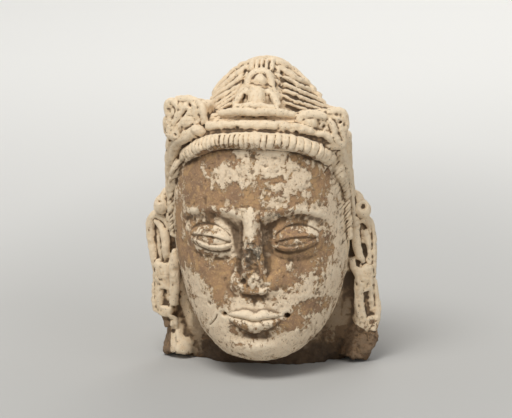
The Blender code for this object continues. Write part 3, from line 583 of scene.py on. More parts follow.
def cord_and_fillet(sizes):
    """The cord along the hairline, the plain roll above it, broken short, and the flat strip."""
    pile = ClayPile("cord")
    pile.roll([(*on_head(x, z, 1.2), cord_radius(sizes, z)) for x, z in cord_line(5)])
    thick = sizes.fillet_radius
    bar = ((-26.5, 133.9, thick), (-14, 135.4, thick), (0, 135.9, thick), (15, 135.2, thick))
    bar += ((28, 132.4, thick - 0.1), (37, 127, thick - 0.5))
    pile.roll([(*on_head(x, z, 0.7), radius) for x, z, radius in bar])
    strip = ((-25, 138, 1.2), (-12, 139.4, 1.7), (0, 139.8, 1.9), (13, 139.4, 1.7), (25, 137.6, 1.2))
    pile.roll([(*on_head(x, z, -0.4), radius) for x, z, radius in strip])
    pile.pellet((-31, -40, 131.6), (4.6, 2.4, 2.6), (0, 25, 25))
    for strap in STRAPS:
        pile.roll(strap)
    return pile.finished()


def side_blocks():
    """Scroll, arched curl and leaf over the left temple, and leaves over the right one."""
    pile = ClayPile("side_blocks")
    left, right = block_frame(-1), block_frame(1)
    left.block(pile, (-2.6, -1.5, 0.4), (11.8, 7.4, 10.4), 0.4)
    left.pellet(pile, (1, -8, -2), (9.5, 7, 9))
    arch = ((8.2, 1.2, 6.2, 1.3), (7.9, 6.4, 6.6, 1.5), (5.2, 8.6, 6.6, 1.6), (2.4, 7.4, 6.8, 1.5))
    left.roll(pile, *arch, (1.4, 3.6, 6.8, 1.4), (2.2, -0.6, 6.8, 1.3), (4.3, -5, 6.2, 1.2))
    crest = ((3.6, 8.8, 3.4, 1.9), (-0.6, 9.6, 4.4, 2.0), (-4.8, 10.0, 4.8, 1.9), (-9.6, 9.0, 4.6, 1.7))
    left.roll(pile, *crest)
    left.volute(pile, (-8.0, 4.8, 7.2), 2.6, -1.15, 3.1, 1.05)
    edge = ((-9.2, 9.2, 6.0, 1.3), (-12.6, 7.6, 6.4, 1.6), (-14.6, 3.0, 6.4, 1.7))
    left.roll(pile, *edge, (-15.0, -2.0, 5.6, 1.5))
    left.pellet(pile, (-5.4, -1.2, 6.4), (6.0, 2.4, 3.6), -20)
    left.roll(pile, (8.6, 0, 5.0, 1.8), (9.2, -4, 4.6, 1.9), (9.0, -9, 3.6, 1.9))
    right.block(pile, (-1.6, -0.8, -0.2), (12.6, 7.6, 10.0), 0.4)
    right.pellet(pile, (2, -7, -2), (9, 7, 9))
    leaf = ((-16.6, 3.4, 5.0, 1.5), (-15.0, 7.2, 5.6, 1.9), (-11.4, 8.6, 6.2, 2.1), (-6.4, 8.2, 6.8, 2.0))
    right.roll(pile, *leaf, (-2.0, 6.8, 7.0, 1.6))
    right.pellet(pile, (-10.6, 4.4, 6.2), (5.6, 2.4, 3.4), -14)
    crest = ((-0.6, 8.8, 4.6, 1.9), (3.2, 9.4, 4.8, 2.1), (7.4, 8.8, 4.8, 2.1), (9.4, 5.8, 4.8, 2.0))
    right.roll(pile, *crest, (10.0, 0, 5.0, 1.9))
    stem = ((-0.6, 5.6, 7.4, 1.3), (1.8, 2.4, 7.6, 1.8), (3.6, -3.2, 7.0, 1.9), (7.6, -8.6, 5.6, 1.8))
    right.roll(pile, *stem)
    right.roll(pile, (4.6, 6.4, 6.8, 1.4), (6.6, 2.0, 6.8, 1.6), (7.4, -3.0, 6.2, 1.5))
    right.roll(pile, (-14, -1.6, 6.0, 1.1), (-7, -1.2, 7.4, 1.6), (-1.2, -2.6, 7.4, 1.7), (2.6, -7, 6.4, 1.5))
    return pile.finished()


def seated_figure():
    """The small figure that sits before the topknot, with its halo, and the seat below."""
    pile = ClayPile("figure")
    middle = -0.4
    pile.pellet((0.3, -26.5, 154.6), (7.6, 6.0, 8.2), (-12, 0, 0))
    pile.pellet((0.5, -17.5, 153.5), (7.2, 10.0, 8.4))
    around = np.radians(np.linspace(-30, 210, 9))
    hood = zip(0.3 + 6.3 * np.cos(around), -30.4 + 1.6 * np.sin(around), 154.6 + 6.9 * np.sin(around))
    pile.roll([(*at, 1.5) for at in hood])
    pile.pellet((middle, -31, 148.0), (12.0, 8.2, 7.4), (-10, 0, 0))
    pile.pellet((0.6, -31.2, 156.0), (3.4, 3.0, 4.4))
    pile.roll([(middle, -36, 152.6, 4.6), (middle, -38, 148.5, 4.9), (middle, -39.5, 144, 5.2)])
    for side in SIDES:
        arm = ((4.8, -35.8, 152.4, 2.0), (9.2, -38, 149.2, 1.6), (11.8, -39.6, 145, 1.5))
        pile.roll([(middle + side * x, y, z, radius) for x, y, z, radius in arm])
    shins = ((-20.5, -38.5, 140.2, 1.3), (-10, -43, 142.4, 2.1), (0, -44.6, 142.6, 2.2))
    shins += ((10, -43, 142.6, 2.1), (20.5, -38.5, 140.2, 1.3))
    pile.roll([(middle + x, y, z, radius) for x, y, z, radius in shins])
    pile.roll([(-12.4, -41.5, 144.8, 1.3), (1.6, -43.6, 145.2, 1.8), (11.6, -42, 144.2, 1.3)])
    return pile.finished()


def combed(share, lift):
    """Lines on the topknot: those between the locks at share 0, or part of the way to the next."""
    for fan in COMBED:
        lines = [smooth_through(line, 6) for line in fan]
        pairs = zip(lines, lines) if share == 0 else zip(lines[:-1], lines[1:])
        for first, second in pairs:
            yield [on_topknot(x, z, lift) for x, z in (1 - share) * first + share * second]


def topknot_locks(sizes):
    """Locks combed from the tie at the peak down each side, and the short strands of the tie."""
    pile = ClayPile("topknot_locks")
    for line in combed(0.5, 0.2):
        swell = np.interp(range(len(line)), (0, 1, len(line) - 1), (0.6, 0.85, 1.0))
        pile.roll([(*at, sizes.lock_radius * share) for at, share in zip(line, swell)])
    for x in TIE_STRANDS:
        over = ((x, -15.5, 160.4, 1.2), (x, -11, 163.0, 1.45), (x * 0.9, -6, 164.0, 1.3))
        pile.roll([*over, (x * 0.7, 1, 163.8, 1.0)])
    return pile.finished()


def ears():
    """Rim and inner folds of each ear, its long lobe, and the curl above it."""
    pile = ClayPile("ears")
    for side in SIDES:
        face = ear_frame(side)
        face.roll(pile, *EAR_RIMS[side])
        face.roll(pile, *EAR_FOLDS[side])
        notch = ((-6.2, 58, 2.4, 1.4), (-6.0, 52, 2.8, 1.8), (-4.0, 47.6, 3.0, 2.3), (1.0, 46.4, 3.0, 2.8))
        face.roll(pile, *notch)
        face.roll(pile, (-4.6, 44, 2.6, 2.8), (0, 43, 2.8, 3.2), (4.4, 44, 2.6, 2.6))
        if side > 0:
            inner = ((1.4, 72, 3.4, 1.6), (2.6, 66, 3.6, 1.9), (2.8, 58, 3.4, 2.0), (2.6, 51, 3.0, 2.0))
            face.roll(pile, *inner)
        reach = LOBE_REACH[side]
        edge = ((-5.4, 46, 2.6, 1.7), (-5.4, 38, 2.8, 1.4), (-4.2 + reach * 0.2, 27, 2.6, 1.4))
        face.roll(pile, *edge, (0.4, 18, 2.6, 1.8))
        edge = ((5.4, 46, 2.6, 2.0), (5.2 + reach * 0.4, 38, 2.6, 2.1), (4.2 + reach, 27, 2.6, 2.2))
        face.roll(pile, *edge, (1.4 + reach, 17, 2.2, 2.4))
        pile.pellet((side * 54.6, 2.5, 84.8), (4.6, 4.8, 5.6), (0, side * -38, 0))
        pile.pellet((side * 52.4, 3.0, 89), (3.6, 4.2, 5.4), (0, side * -24, 0))
    pile.roll([(-48.2, -6, 62, 1.2), (-49, -4, 52, 2.6), (-49.6, -2, 40, 2.8), (-50.4, 0, 31, 2.2)])
    return pile.finished()


# The face, raised from the blank front


def inside_hairline(x, z):
    """1 on the face and 0 on the hair, with the change along the cord."""
    low_first = HAIRLINE[::-1]
    edge = np.interp(z, [p[1] for p in low_first], [p[0] for p in low_first], left=FACE_HALF)
    return (z < HAIRLINE[0][1]) * step_up(edge - np.abs(x), 0.5, 3.5)


def model_eyes(a, z):
    """Sockets, half-closed lids and brows, for a distance from the middle and a height."""
    t = np.clip((a - EYE_INNER) / (EYE_OUTER - EYE_INNER), 0, 1)
    middle = (EYE_INNER + EYE_OUTER) / 2
    rise = -4.6 * hill(a, z, (middle - 1, EYE_Z + 6.5), (15, 6.0))
    rise -= 3.6 * hill(a, z, (EYE_INNER - 1.5, EYE_Z + 1), (4.4, 8))
    rise -= 1.6 * hill(a, z, (middle - 2, EYE_Z - 9), (14, 4.5))
    rise += 5.4 * dome(a, z, (middle, EYE_Z), (16.5, 12.5))
    arch = BROW_Z - 3 + 7.5 * np.sin(np.clip((a + 2) / 44, 0, 1) * math.pi) ** 0.9
    rise += 1.5 * ridge(z - arch - 1, 2.4) * step_up(45 - a, 0, 10) * step_up(a, 1, 7)
    bow = np.sin(math.pi * t**0.85)
    lid = step_up(bow, 0.02, 0.35)
    axis = EYE_Z - 2.4 + 2.0 * t
    upper, lower = axis + 2.6 * bow, axis - 2.6 * bow
    crease = upper + 1.2 + 4.4 * bow**0.7
    open_part = step_up(upper - z, -0.15, 0.35) * step_up(z - lower, -0.25, 0.5)
    ball = 0.9 * np.clip(1 - ((z - axis) / 3.4) ** 2, 0, 1)
    rise -= (2.2 - ball) * lid * open_part
    rise += 0.5 * lid * ridge(z - upper - 0.6, 0.7)
    rise += 0.7 * lid * ridge(z - lower + 0.9, 0.8)
    rise -= 1.2 * lid * ridge(z - crease, 0.8)
    return rise - 1.5 * lid * ridge(z - lower + 3.2, 1.1)


def model_nose(a, z, points, sizes):
    """A ridge that widens into two wings, its tip broken off at a rough stump."""
    down = np.clip((BROW_Z + 1 - z) / (BROW_Z - NOSE_BASE_Z), 0, 1.05)
    half = 4.6 + 4.4 * down**1.6
    height = (3.4 + 13.0 * down**1.25) * step_up(z, NOSE_BASE_Z - 1.6, NOSE_BASE_Z + 5.4)
    ridge = height * np.clip(1 - (a / half) ** 2, 0, 1) ** 0.9 * step_up(BROW_Z + 9 - z, 0, 10)
    wings = 5.0 * hill(a, z, (8.4, NOSE_BASE_Z + 5.2), (4.4, 4.6))
    nose = np.maximum(ridge, wings)
    jagged = layered(points, (1.6, 5, 5), (1.3, 2.6, 6), (0.7, 1.3, 7))
    stump = sizes.nose_stump + jagged - 1.6 * step_up(EYE_Z - 14 - z, 0, 10)
    return np.where(z < EYE_Z - 1, np.minimum(nose, stump), nose)


def model_mouth(x, z):
    """The muzzle, two lips either side of a gently rising line, and the chin."""
    a = np.abs(x)
    rise = 3.4 * hill(x, z, (0, MOUTH_Z + 1), (18, 13))
    line = MOUTH_Z - 0.9 + 1.3 * (a / 16) ** 2 - 0.9 * ridge(a, 3.2)
    wide = np.clip(1 - (a / 16) ** 2, 0, 1)
    over, under = z - line, line - z
    top = 4.6 * wide**0.7 + ridge(a - 4.8, 3) + 0.01
    bottom = 6.4 * np.clip(1 - (a / 14.5) ** 2, 0, 1) ** 0.6 + 0.01
    swell = np.clip(1 - np.abs(over / top * 2 - 0.75) ** 2.2 * 0.62, 0, 1)
    rise += 2.7 * wide**0.5 * swell * (over > 0) * (over < top) * step_up(top - over, 0, 1)
    rise += 3.2 * wide**0.5 * np.sin(np.clip(under / bottom, 0, 1) * math.pi) ** 0.6 * (under > 0)
    rise -= 1.6 * ridge(z - line, 0.9) * step_up(18.5 - a, 0, 3)
    rise -= 1.1 * hill(x, z, (0, MOUTH_Z + 8.2), (1.9, 3.6))
    rise -= 2.4 * hill(x, z, (0, MOUTH_Z - 10.5), (11, 3.4))
    return rise + 2.8 * hill(x, z, (0, CHIN_Z + 8.5), (10.5, 6.5))


def model_face(skin, sizes):
    """Brows, eyes, nose, lips and chin, raised from the blank face in the front view."""
    x, z = skin.at[:, 0], skin.at[:, 2]
    a = np.abs(x)
    face = inside_hairline(x, z) * step_up(-skin.out[:, 1], 0.05, 0.55) * (skin.at[:, 1] < -2)
    rise = 1.6 * hill(a, z, (31, MOUTH_Z + 19), (13, 15)) - 1.2 * hill(a, z, (41, EYE_Z - 6), (8, 14))
    rise += model_eyes(a, z) + model_nose(a, z, skin.at, sizes) + model_mouth(x, z)
    skin.at += (rise * face)[:, None] * FRONT
    skin.settle()
    for side in SIDES:
        skin.drill((side * 16.8, MOUTH_Z + 0.5), sizes.mouth_drill, 4.5)
    below = [(-12, 0, CHIN_Z + 5.5), (0, 0, CHIN_Z + 2.4), (12, 0, CHIN_Z + 5.5)]
    skin.stroke(below, 1.2, -0.8, flat=True)
    half = smooth_through(HAIRLINE, 30)
    for side in SIDES:
        under = [(side * x, 0, z - sizes.cord_radius - 0.2) for x, z in half if z > 96]
        skin.stroke(under, 1.6, -1.3, flat=True, taper=0)
    skin.settle()


# Tool work, breaks and wear


def notch_cord(skin, sizes):
    """Cuts across the cord, close on the left, wider over the brow, and slanted down the sides."""
    line = cord_line(0.5)
    draw = np.random.default_rng(31)
    at = 2.0
    while at < len(line) - 3:
        x, z = line[int(at)]
        along = line[int(at) + 2] - line[int(at) - 2]
        along = along / np.linalg.norm(along)
        if abs(x) < 46:
            slope = on_head(x + 0.5, z, 0)[1] - on_head(x - 0.5, z, 0)[1]
        else:
            slope = 3 * np.sign(x)
        out = np.array([slope, -1, 0]) / math.hypot(slope, 1)
        way = np.array([along[0], along[0] * slope, along[1]])
        up = np.cross(out, way / np.linalg.norm(way))
        radius = cord_radius(sizes, z)
        down = step_up(HAIRLINE_Z - z, 4, 26)
        middle = np.array(on_head(x, z, 1.2))
        lean = 0.5 * down * np.sign(x) + draw.uniform(-0.12, 0.12)
        depth = sizes.notch_depth * draw.uniform(0.7, 1.1)
        if z < 114:
            aslant = np.array([radius + 0.4, 0, (radius + 0.4) * draw.uniform(0.7, 1.3)])
            ends = [middle - aslant, middle + aslant]
            skin.stroke(ends, sizes.notch_width, -1.2 * depth, flat=True, taper=0.1)
        else:
            tilted = up + lean * way
            keys = [middle + radius * (math.cos(t) * out + math.sin(t) * tilted) for t in NOTCH_TURNS]
            skin.stroke(keys, sizes.notch_width, -depth, taper=0.08)
        spacing = 2.3 + 1.3 * step_up(x, -8, 6) * (1 - step_up(x, 34, 42)) - 0.3 * down
        at += 2 * spacing * draw.uniform(0.88, 1.12)
    skin.settle()


def comb_back(skin):
    """Comb lines over the back of the head."""
    x, y, z = skin.at.T
    turn = np.arctan2(x, -(y - 4))
    strand = np.abs(np.sin(turn * 11 + 0.6 * lumps(skin.at, 16, 4))) ** 0.7 - 0.7
    fine = np.abs(np.sin(turn * 33 + 1.2 * lumps(skin.at, 9, 8))) - 0.6
    back = step_up(y, 8, 20) * step_up(z, 14, 30) * (1 - step_up(z, 158, 164))
    beside_ears = hill(np.abs(x), z, (58, 58), (10, 34)) * (y < 24)
    skin.at += ((0.7 * strand + 0.2 * fine) * back * (1 - beside_ears))[:, None] * skin.out
    skin.settle()


def cut_details(skin, sizes):
    """Tool cuts: between the locks, in the crown and the ears, and the slots in the lobes."""
    for share, width, depth in ((0, 1.4, 1.4), (0.35, 0.7, 0.45), (0.7, 0.7, 0.45)):
        for line in combed(share, 1.2):
            skin.stroke(line, width, -depth, taper=0.1)
    for x in TIE_STRANDS[:-1]:
        over = [(x + 1.3, -16.8, 160.2), (x + 1.2, -12.3, 163.8), (x + 1.0, -7, 165)]
        skin.stroke(over, 0.95, -1.5, taper=0.1)
    beside_figure = (
        (((-9.6, 160), (-10, 155), (-12, 149.6)), 1.7, 2.0),
        (((9.6, 161.5), (11, 156), (11.2, 150)), 1.7, 2.2),
        (((11, 155.6), (15, 153.8), (18.5, 152)), 1.5, 1.8),
    )
    for line, width, depth in beside_figure:
        skin.stroke([on_topknot(x, z, 1.4) for x, z in line], width, -depth, taper=0.12)
    for side in SIDES:
        face = ear_frame(side)
        for places, width, depth, fade in (*EAR_CUTS[side], *CUTS_IN_BOTH_EARS):
            skin.stroke([face.at(*place) for place in places], width, -depth, taper=fade)
        places, width = LOBE_SLOTS[side]
        slot = [face.at(*place) for place in places]
        skin.stroke(slot, width, -sizes.lobe_slot, taper=0.05, sharp=2.2)
        skin.stroke([(side * 46, 4, 52), (side * 45, 3, 36), (side * 42, 2, 22)], 5, -3.0)
        armpit = [(side * 6.6 - 0.4, 0, 150.2), (side * 7.4 - 0.4, 0, 146.6)]
        skin.stroke(armpit, 1.3, -2.2, flat=True, taper=0)
    grooves = (
        ([(-37.2, -37, 142.9), (-40.8, -35, 138.2), (-44, -32, 133.2), (-46.6, -29, 129)], 1.4, 2.0),
        ([(-20, -46, 141), (0.5, -48, 144), (12, -46, 142.6), (18, -44, 141)], 1.0, 1.2),
        ([(38.4, -39, 138), (40.4, -38, 139.9), (44, -36, 140.4)], 0.9, 1.3),
        ([(38.4, -39, 138), (41, -38, 135.8), (42.8, -37, 133.4)], 0.9, 1.2),
        ([(27.6, -42, 137.4), (31, -42, 137.2), (34.6, -41, 134.6)], 1.2, 1.3),
        ([(29, -43, 134.4), (34, -42, 132.6), (38, -40, 130.2)], 1.0, 1.0),
        ([(-45.6, -32, 143.4), (-44.4, -33, 140.6), (-45.4, -32, 137)], 1.2, 1.5),
        ([(-39, -36, 146.4), (-35.6, -37, 146.8), (-32, -38, 147)], 0.9, 1.0),
    )
    for line, width, depth in grooves:
        skin.stroke(line, width, -depth)
    holes = (
        (-36.5, 144.2, 1.4), (-44.1, 128, 0.9), (-34.6, 134.2, 0.8), (-48.9, 122.5, 0.8),
        (-51.5, 116.5, 0.8), (35.8, 134.2, 1.1), (44, 136, 1.0), (39.5, 130.6, 0.8),
        (-56, 86.6, 0.9), (55.9, 86, 1.9),
    )
    for x, z, radius in holes:
        skin.drill((x, z), radius, 2.6)
    skin.settle()


def scrape_jaw(skin):
    """Fine scrape marks that run down the temples and along the jaw."""
    draw = np.random.default_rng(17)
    heights = np.array([r[0] for r in SKULL])
    halves = np.array([r[1] for r in SKULL])
    for side in SIDES:
        for inset in np.arange(2.2, 12.5, 1.35):
            top = draw.uniform(70, 108) if side > 0 else draw.uniform(48, 84)
            bottom = draw.uniform(16, 26) + inset * 0.6
            z = np.linspace(top, bottom, 7)
            x = side * (np.interp(z, heights, halves) - inset + draw.uniform(-0.35, 0.35, 7))
            keys = [(a, 0, b) for a, b in zip(x, z)]
            skin.stroke(keys, 0.75, -draw.uniform(0.25, 0.55) / (1 + inset / 9), flat=True, taper=0.25)
    skin.settle()


def break_away(skin, sizes):
    """The broken neck and lobe ends: rough, with a bite out of the left lobe's end."""
    x, y, z = skin.at.T
    rough = layered(skin.at, (1, 9, 11), (0.6, 4.5, 12), (0.35, 2.2, 13))
    fine = 0.12 * lumps(skin.at, 1.4, 14)
    under = (1 - step_up(z, 5, 17)) * step_up(y, -24, -12)
    skin.at += (sizes.break_roughness * (rough + fine * (z > 1)) * under)[:, None] * skin.out
    bite = step_up(-x, 50, 54) * (1 - step_up(z + 1.5 * rough, 21, 24)) * (y < 30)
    skin.at[:, 0] += LOBE_BITE * bite
    corner = step_up(x, 44, 50) * (1 - step_up(z + 2 * rough, 5, 12))
    skin.at[:, 0] -= CORNER_LOSS * corner
    skin.settle()
    cracks = (
        ([(-58, 0, 47.5), (-62, 3, 48.0), (-66, 6, 48.5)], 0.8, 1.2, False),
        ([(-20.5, 0, 35.7), (-22.6, 0, 31.4), (-26, 0, 27.7)], 0.75, 1.6, True),
        ([(-26, 0, 27.7), (-27.6, 0, 21), (-27.2, 0, 15), (-20, 0, 11.6)], 0.55, 0.5, True),
    )
    for line, width, depth, flat in cracks:
        skin.stroke(line, width, -depth, flat=flat, taper=0.12)
    skin.settle()


def pit(skin, sizes):
    """Small holes and chips scattered over the surface."""
    draw = np.random.default_rng(43)
    for index in draw.integers(0, len(skin.at), sizes.pits):
        radius = draw.uniform(0.5, 1.0)
        keys = [skin.at[index], skin.at[index] + draw.normal(0, 0.6, 3)]
        skin.stroke(keys, radius, -draw.uniform(0.25, 0.6), taper=0)
    skin.settle()


def slip_left(points, out):
    """Where the pale slip is left: above 0.5 it covers the clay, below it has flaked off."""
    x, y, z = points.T
    value = layered(points, (0.14, 8, 51), (0.16, 4, 52), (0.14, 2, 53), start=0.51)
    front = step_up(-out[:, 1], 0.0, 0.4) * (y < -5)
    for kind, at_x, at_z, across, up in FLAKES:
        reach = (FLAKE_SPREAD * across, FLAKE_SPREAD * up)
        value += FLAKE_WEIGHT * kind * hill(x, z, (at_x, at_z), reach) * front
    above_break = np.where(x < -36, step_up(z, -2, 10), step_up(z, 14, 30))
    return value + HAIR_SLIP * (1 - inside_hairline(x, z) * (y < 0)) * above_break


def weather(skin):
    """The soft unevenness of hand-pressed and worn clay, and the edges of the slip that is left."""
    x, _, z = skin.at.T
    coarse = 1 - 0.45 * inside_hairline(x, z)
    soft = layered(skin.at, (0.24, 13, 21), (0.20, 5, 22))
    soft += coarse * layered(skin.at, (0.30, 2.4, 23), (0.20, 1.4, 24))
    chips = 0.55 * coarse * step_up(lumps(skin.at, 3.2, 25), 0.35, 0.75)
    soft -= chips * step_up(lumps(skin.at, 9, 26), -0.1, 0.4)
    slip = SLIP_THICKNESS * step_up(slip_left(skin.at, skin.out), *SLIP_EDGE)
    skin.at += (soft + slip)[:, None] * skin.out
    skin.settle()


def sway(skin):
    """The head, pressed a little out of true, stands to the left between the chin and the crown."""
    skin.at[:, 0] -= SWAY * ridge(skin.at[:, 2] - SWAY_Z, SWAY_REACH)
    skin.settle()


def mark_surface(skin):
    """Writes what the finish reads: slip, hair, dirt and painted shade in narrow recesses with a painted
    shadow under the chin, stain and painted shade in recesses, painted shade in hollows, breaks, and the dark
    stump with painted shade on the right brow.
    """
    x, y, z = skin.at.T
    rough = layered(skin.at, (1, 7, 61), (0.6, 3, 62))
    fine, middle, broad = skin.sunken(6), skin.sunken(24), skin.sunken(80)
    # Breaks under the neck, at the left lobe's end and at the right neck corner; the finish paints them dark,
    # partly as broken clay and partly as painted shade
    under = (1 - step_up(z + 3 * rough, 6, 15)) * step_up(y, -26, -16) * step_up(x, -38, -30)
    bite = step_up(-x, 52, 54.5) * (1 - step_up(z + 2 * rough, 20, 25))
    slanted = z + 0.8 * np.maximum(x - 51, 0) + 1.5 * rough
    end = step_up(x, 34, 42) * (1 - step_up(slanted, 19, 23)) * step_up(y, -20, -10)
    jaw = np.interp(z, [row[0] for row in SKULL], [row[1] for row in SKULL])
    # Painted shade in the gap between the jaw and the ear lobe, mostly on the right
    gap = step_up(np.abs(x) - jaw, 0.3, 2.6) * (1 - step_up(np.abs(x), 46.5, 49.5))
    gap *= (1 - step_up(z, 46, 56)) * (y < 24) * np.where(x < 0, 0.8 * step_up(x, -44, -40), 1.0)
    nose = hill(x, z, (0, EYE_Z - 8), (7, 9)) * (y < -48)
    # Painted shade on the right brow, joined to the dark patch on the nose stump
    brow = hill(x, z, (17, BROW_Z + 2), (11, 3)) * (y < -30)
    # Painted shadow: the stump under the chin is darkened as if the chin's shade fell on it
    painted_shadow_below_chin = (1 - step_up(z + rough, 9, 15)) * step_up(y, -38, -28) * (1 - step_up(np.abs(x), 34, 44))
    masks = {
        "slip": slip_left(skin.at, skin.out),
        "hair": 1 - inside_hairline(x, z) * (y < 0),
        # Dirt and painted shade in narrow recesses, and the painted shadow under the chin
        "dirt_and_shade": np.maximum(np.clip(fine / 0.12, -1, 1) * 0.5 + 0.5, painted_shadow_below_chin),
        # Brown stain and painted shade in recesses
        "recess": np.clip(middle / 0.32, -1, 1) * 0.5 + 0.5,
        # Painted shade in broad hollows and in the gap beside the jaw
        "hollow": np.clip(np.maximum(broad / 0.9, gap), -1, 1) * 0.5 + 0.5,
        "broken": np.clip(np.maximum(np.maximum(under, bite), end), 0, 1),
        # Dark nose stump and painted shade on the right brow
        "soot_and_brow_shade": np.clip(np.maximum(nose, 0.75 * brow) * (1.0 + 0.5 * rough), 0, 1),
    }
    for name, values in masks.items():
        mark = skin.mesh.attributes.new(name, "FLOAT", "POINT")
        mark.data.foreach_set("value", values.astype(np.float32))


def thin_out(head, sizes):
    """Fewer triangles, most of them kept where the clay is finely worked."""
    skin = Surface(head.data)
    x, y, z = skin.at.T
    crown = (z > 117) & (y < -4)
    ears_too = (np.abs(x) > 50) & (np.abs(y - 4) < 14) & (z > 12)
    features = (y < -30) & (np.abs(x) < 44) & (z > 14) & (z < 116)
    worked = crown | ears_too | features
    head.data.calc_loop_triangles()
    plain = head.vertex_groups.new(name="plain")
    plain.add(np.flatnonzero(~worked).tolist(), 1.0, "REPLACE")
    plain.add(np.flatnonzero(worked).tolist(), 0.5, "REPLACE")
    select_only(head)
    apply_modifier(
        "DECIMATE",
        ratio=min(1, sizes.triangles / len(head.data.loop_triangles)),
        use_collapse_triangulate=True,
        vertex_group=plain.name,
        vertex_group_factor=4.0,
    )
    head.vertex_groups.clear()


def set_in_box(head, low, high):
    """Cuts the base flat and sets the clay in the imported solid's box, in metres."""
    points = read(head.data.vertices, "co", np.float32, 3).astype(float)
    points[:, 2] = np.maximum(points[:, 2], 0)
    first, last = points.min(axis=0), points.max(axis=0)
    low, high = np.array(low), np.array(high)
    points = low + (points - first) / (last - first) * (high - low)
    head.data.vertices.foreach_set("co", np.clip(points, low, high).astype(np.float32).ravel())
    head.data.update()


# The finish


class Value:
    """A socket in an expression: arithmetic on it adds Math nodes."""

    def __init__(self, nodes, socket):
        self.nodes = nodes
        self.socket = socket

    def math(self, operation, first, second):
        return self.nodes.node("ShaderNodeMath", {"operation": operation}, {0: first, 1: second})

    def __add__(self, other):
        return self.math("ADD", self, other)

    __radd__ = __add__

    def __sub__(self, other):
        return self.math("SUBTRACT", self, other)

    def __rsub__(self, other):
        return self.math("SUBTRACT", other, self)

    def __mul__(self, other):
        return self.math("MULTIPLY", self, other)

    __rmul__ = __mul__

    def between(self, low, high):
        """0 below low, 1 above high, and a smooth rise between them."""
        inputs = {"Value": self, "From Min": low, "From Max": high}
        return self.nodes.node("ShaderNodeMapRange", {"interpolation_type": "SMOOTHSTEP"}, inputs)


class Finish:
    """A material's nodes."""

    def __init__(self, name):
        self.material = bpy.data.materials.new(name)
        self.material.use_nodes = True
        self.tree = self.material.node_tree
        self.shader = self.tree.nodes["Principled BSDF"]
        self.place = self.node("ShaderNodeTexCoord", output="Object")

    def feed(self, socket, value):
        if isinstance(value, Value):
            self.tree.links.new(value.socket, socket)
        else:
            socket.default_value = value

    def node(self, kind, settings=None, inputs=None, output=0):
        made = self.tree.nodes.new(kind)
        for name, value in (settings or {}).items():
            setattr(made, name, value)
        for name, value in (inputs or {}).items():
            self.feed(made.inputs[name], value)
        return Value(self, made.outputs[output])

    def mask(self, name):
        return self.node("ShaderNodeAttribute", {"attribute_name": name}, output="Fac")

    def noise(self, size, detail=4.0, roughness=0.55, distortion=0.0):
        """Clouds of the given size in millimetres."""
        inputs = {"Vector": self.place, "Scale": 1000 / size, "Detail": detail}
        inputs |= {"Roughness": roughness, "Distortion": distortion}
        return self.node("ShaderNodeTexNoise", inputs=inputs, output="Fac")

    def specks(self, size):
        """Distance to scattered points of the given spacing in millimetres, in spacings."""
        inputs = {"Vector": self.place, "Scale": 1000 / size}
        return self.node("ShaderNodeTexVoronoi", inputs=inputs, output="Distance")

    def mix(self, factor, first, second):
        """Two colours or colour sockets mixed by a factor."""
        first, second = (c if isinstance(c, Value) else (*c, 1) for c in (first, second))
        return self.node("ShaderNodeMix", {"data_type": "RGBA"}, {0: factor, 6: first, 7: second}, 2)

    def result(self, **inputs):
        for name, value in inputs.items():
            self.feed(self.shader.inputs[name.replace("_", " ").title()], value)
        return self.material


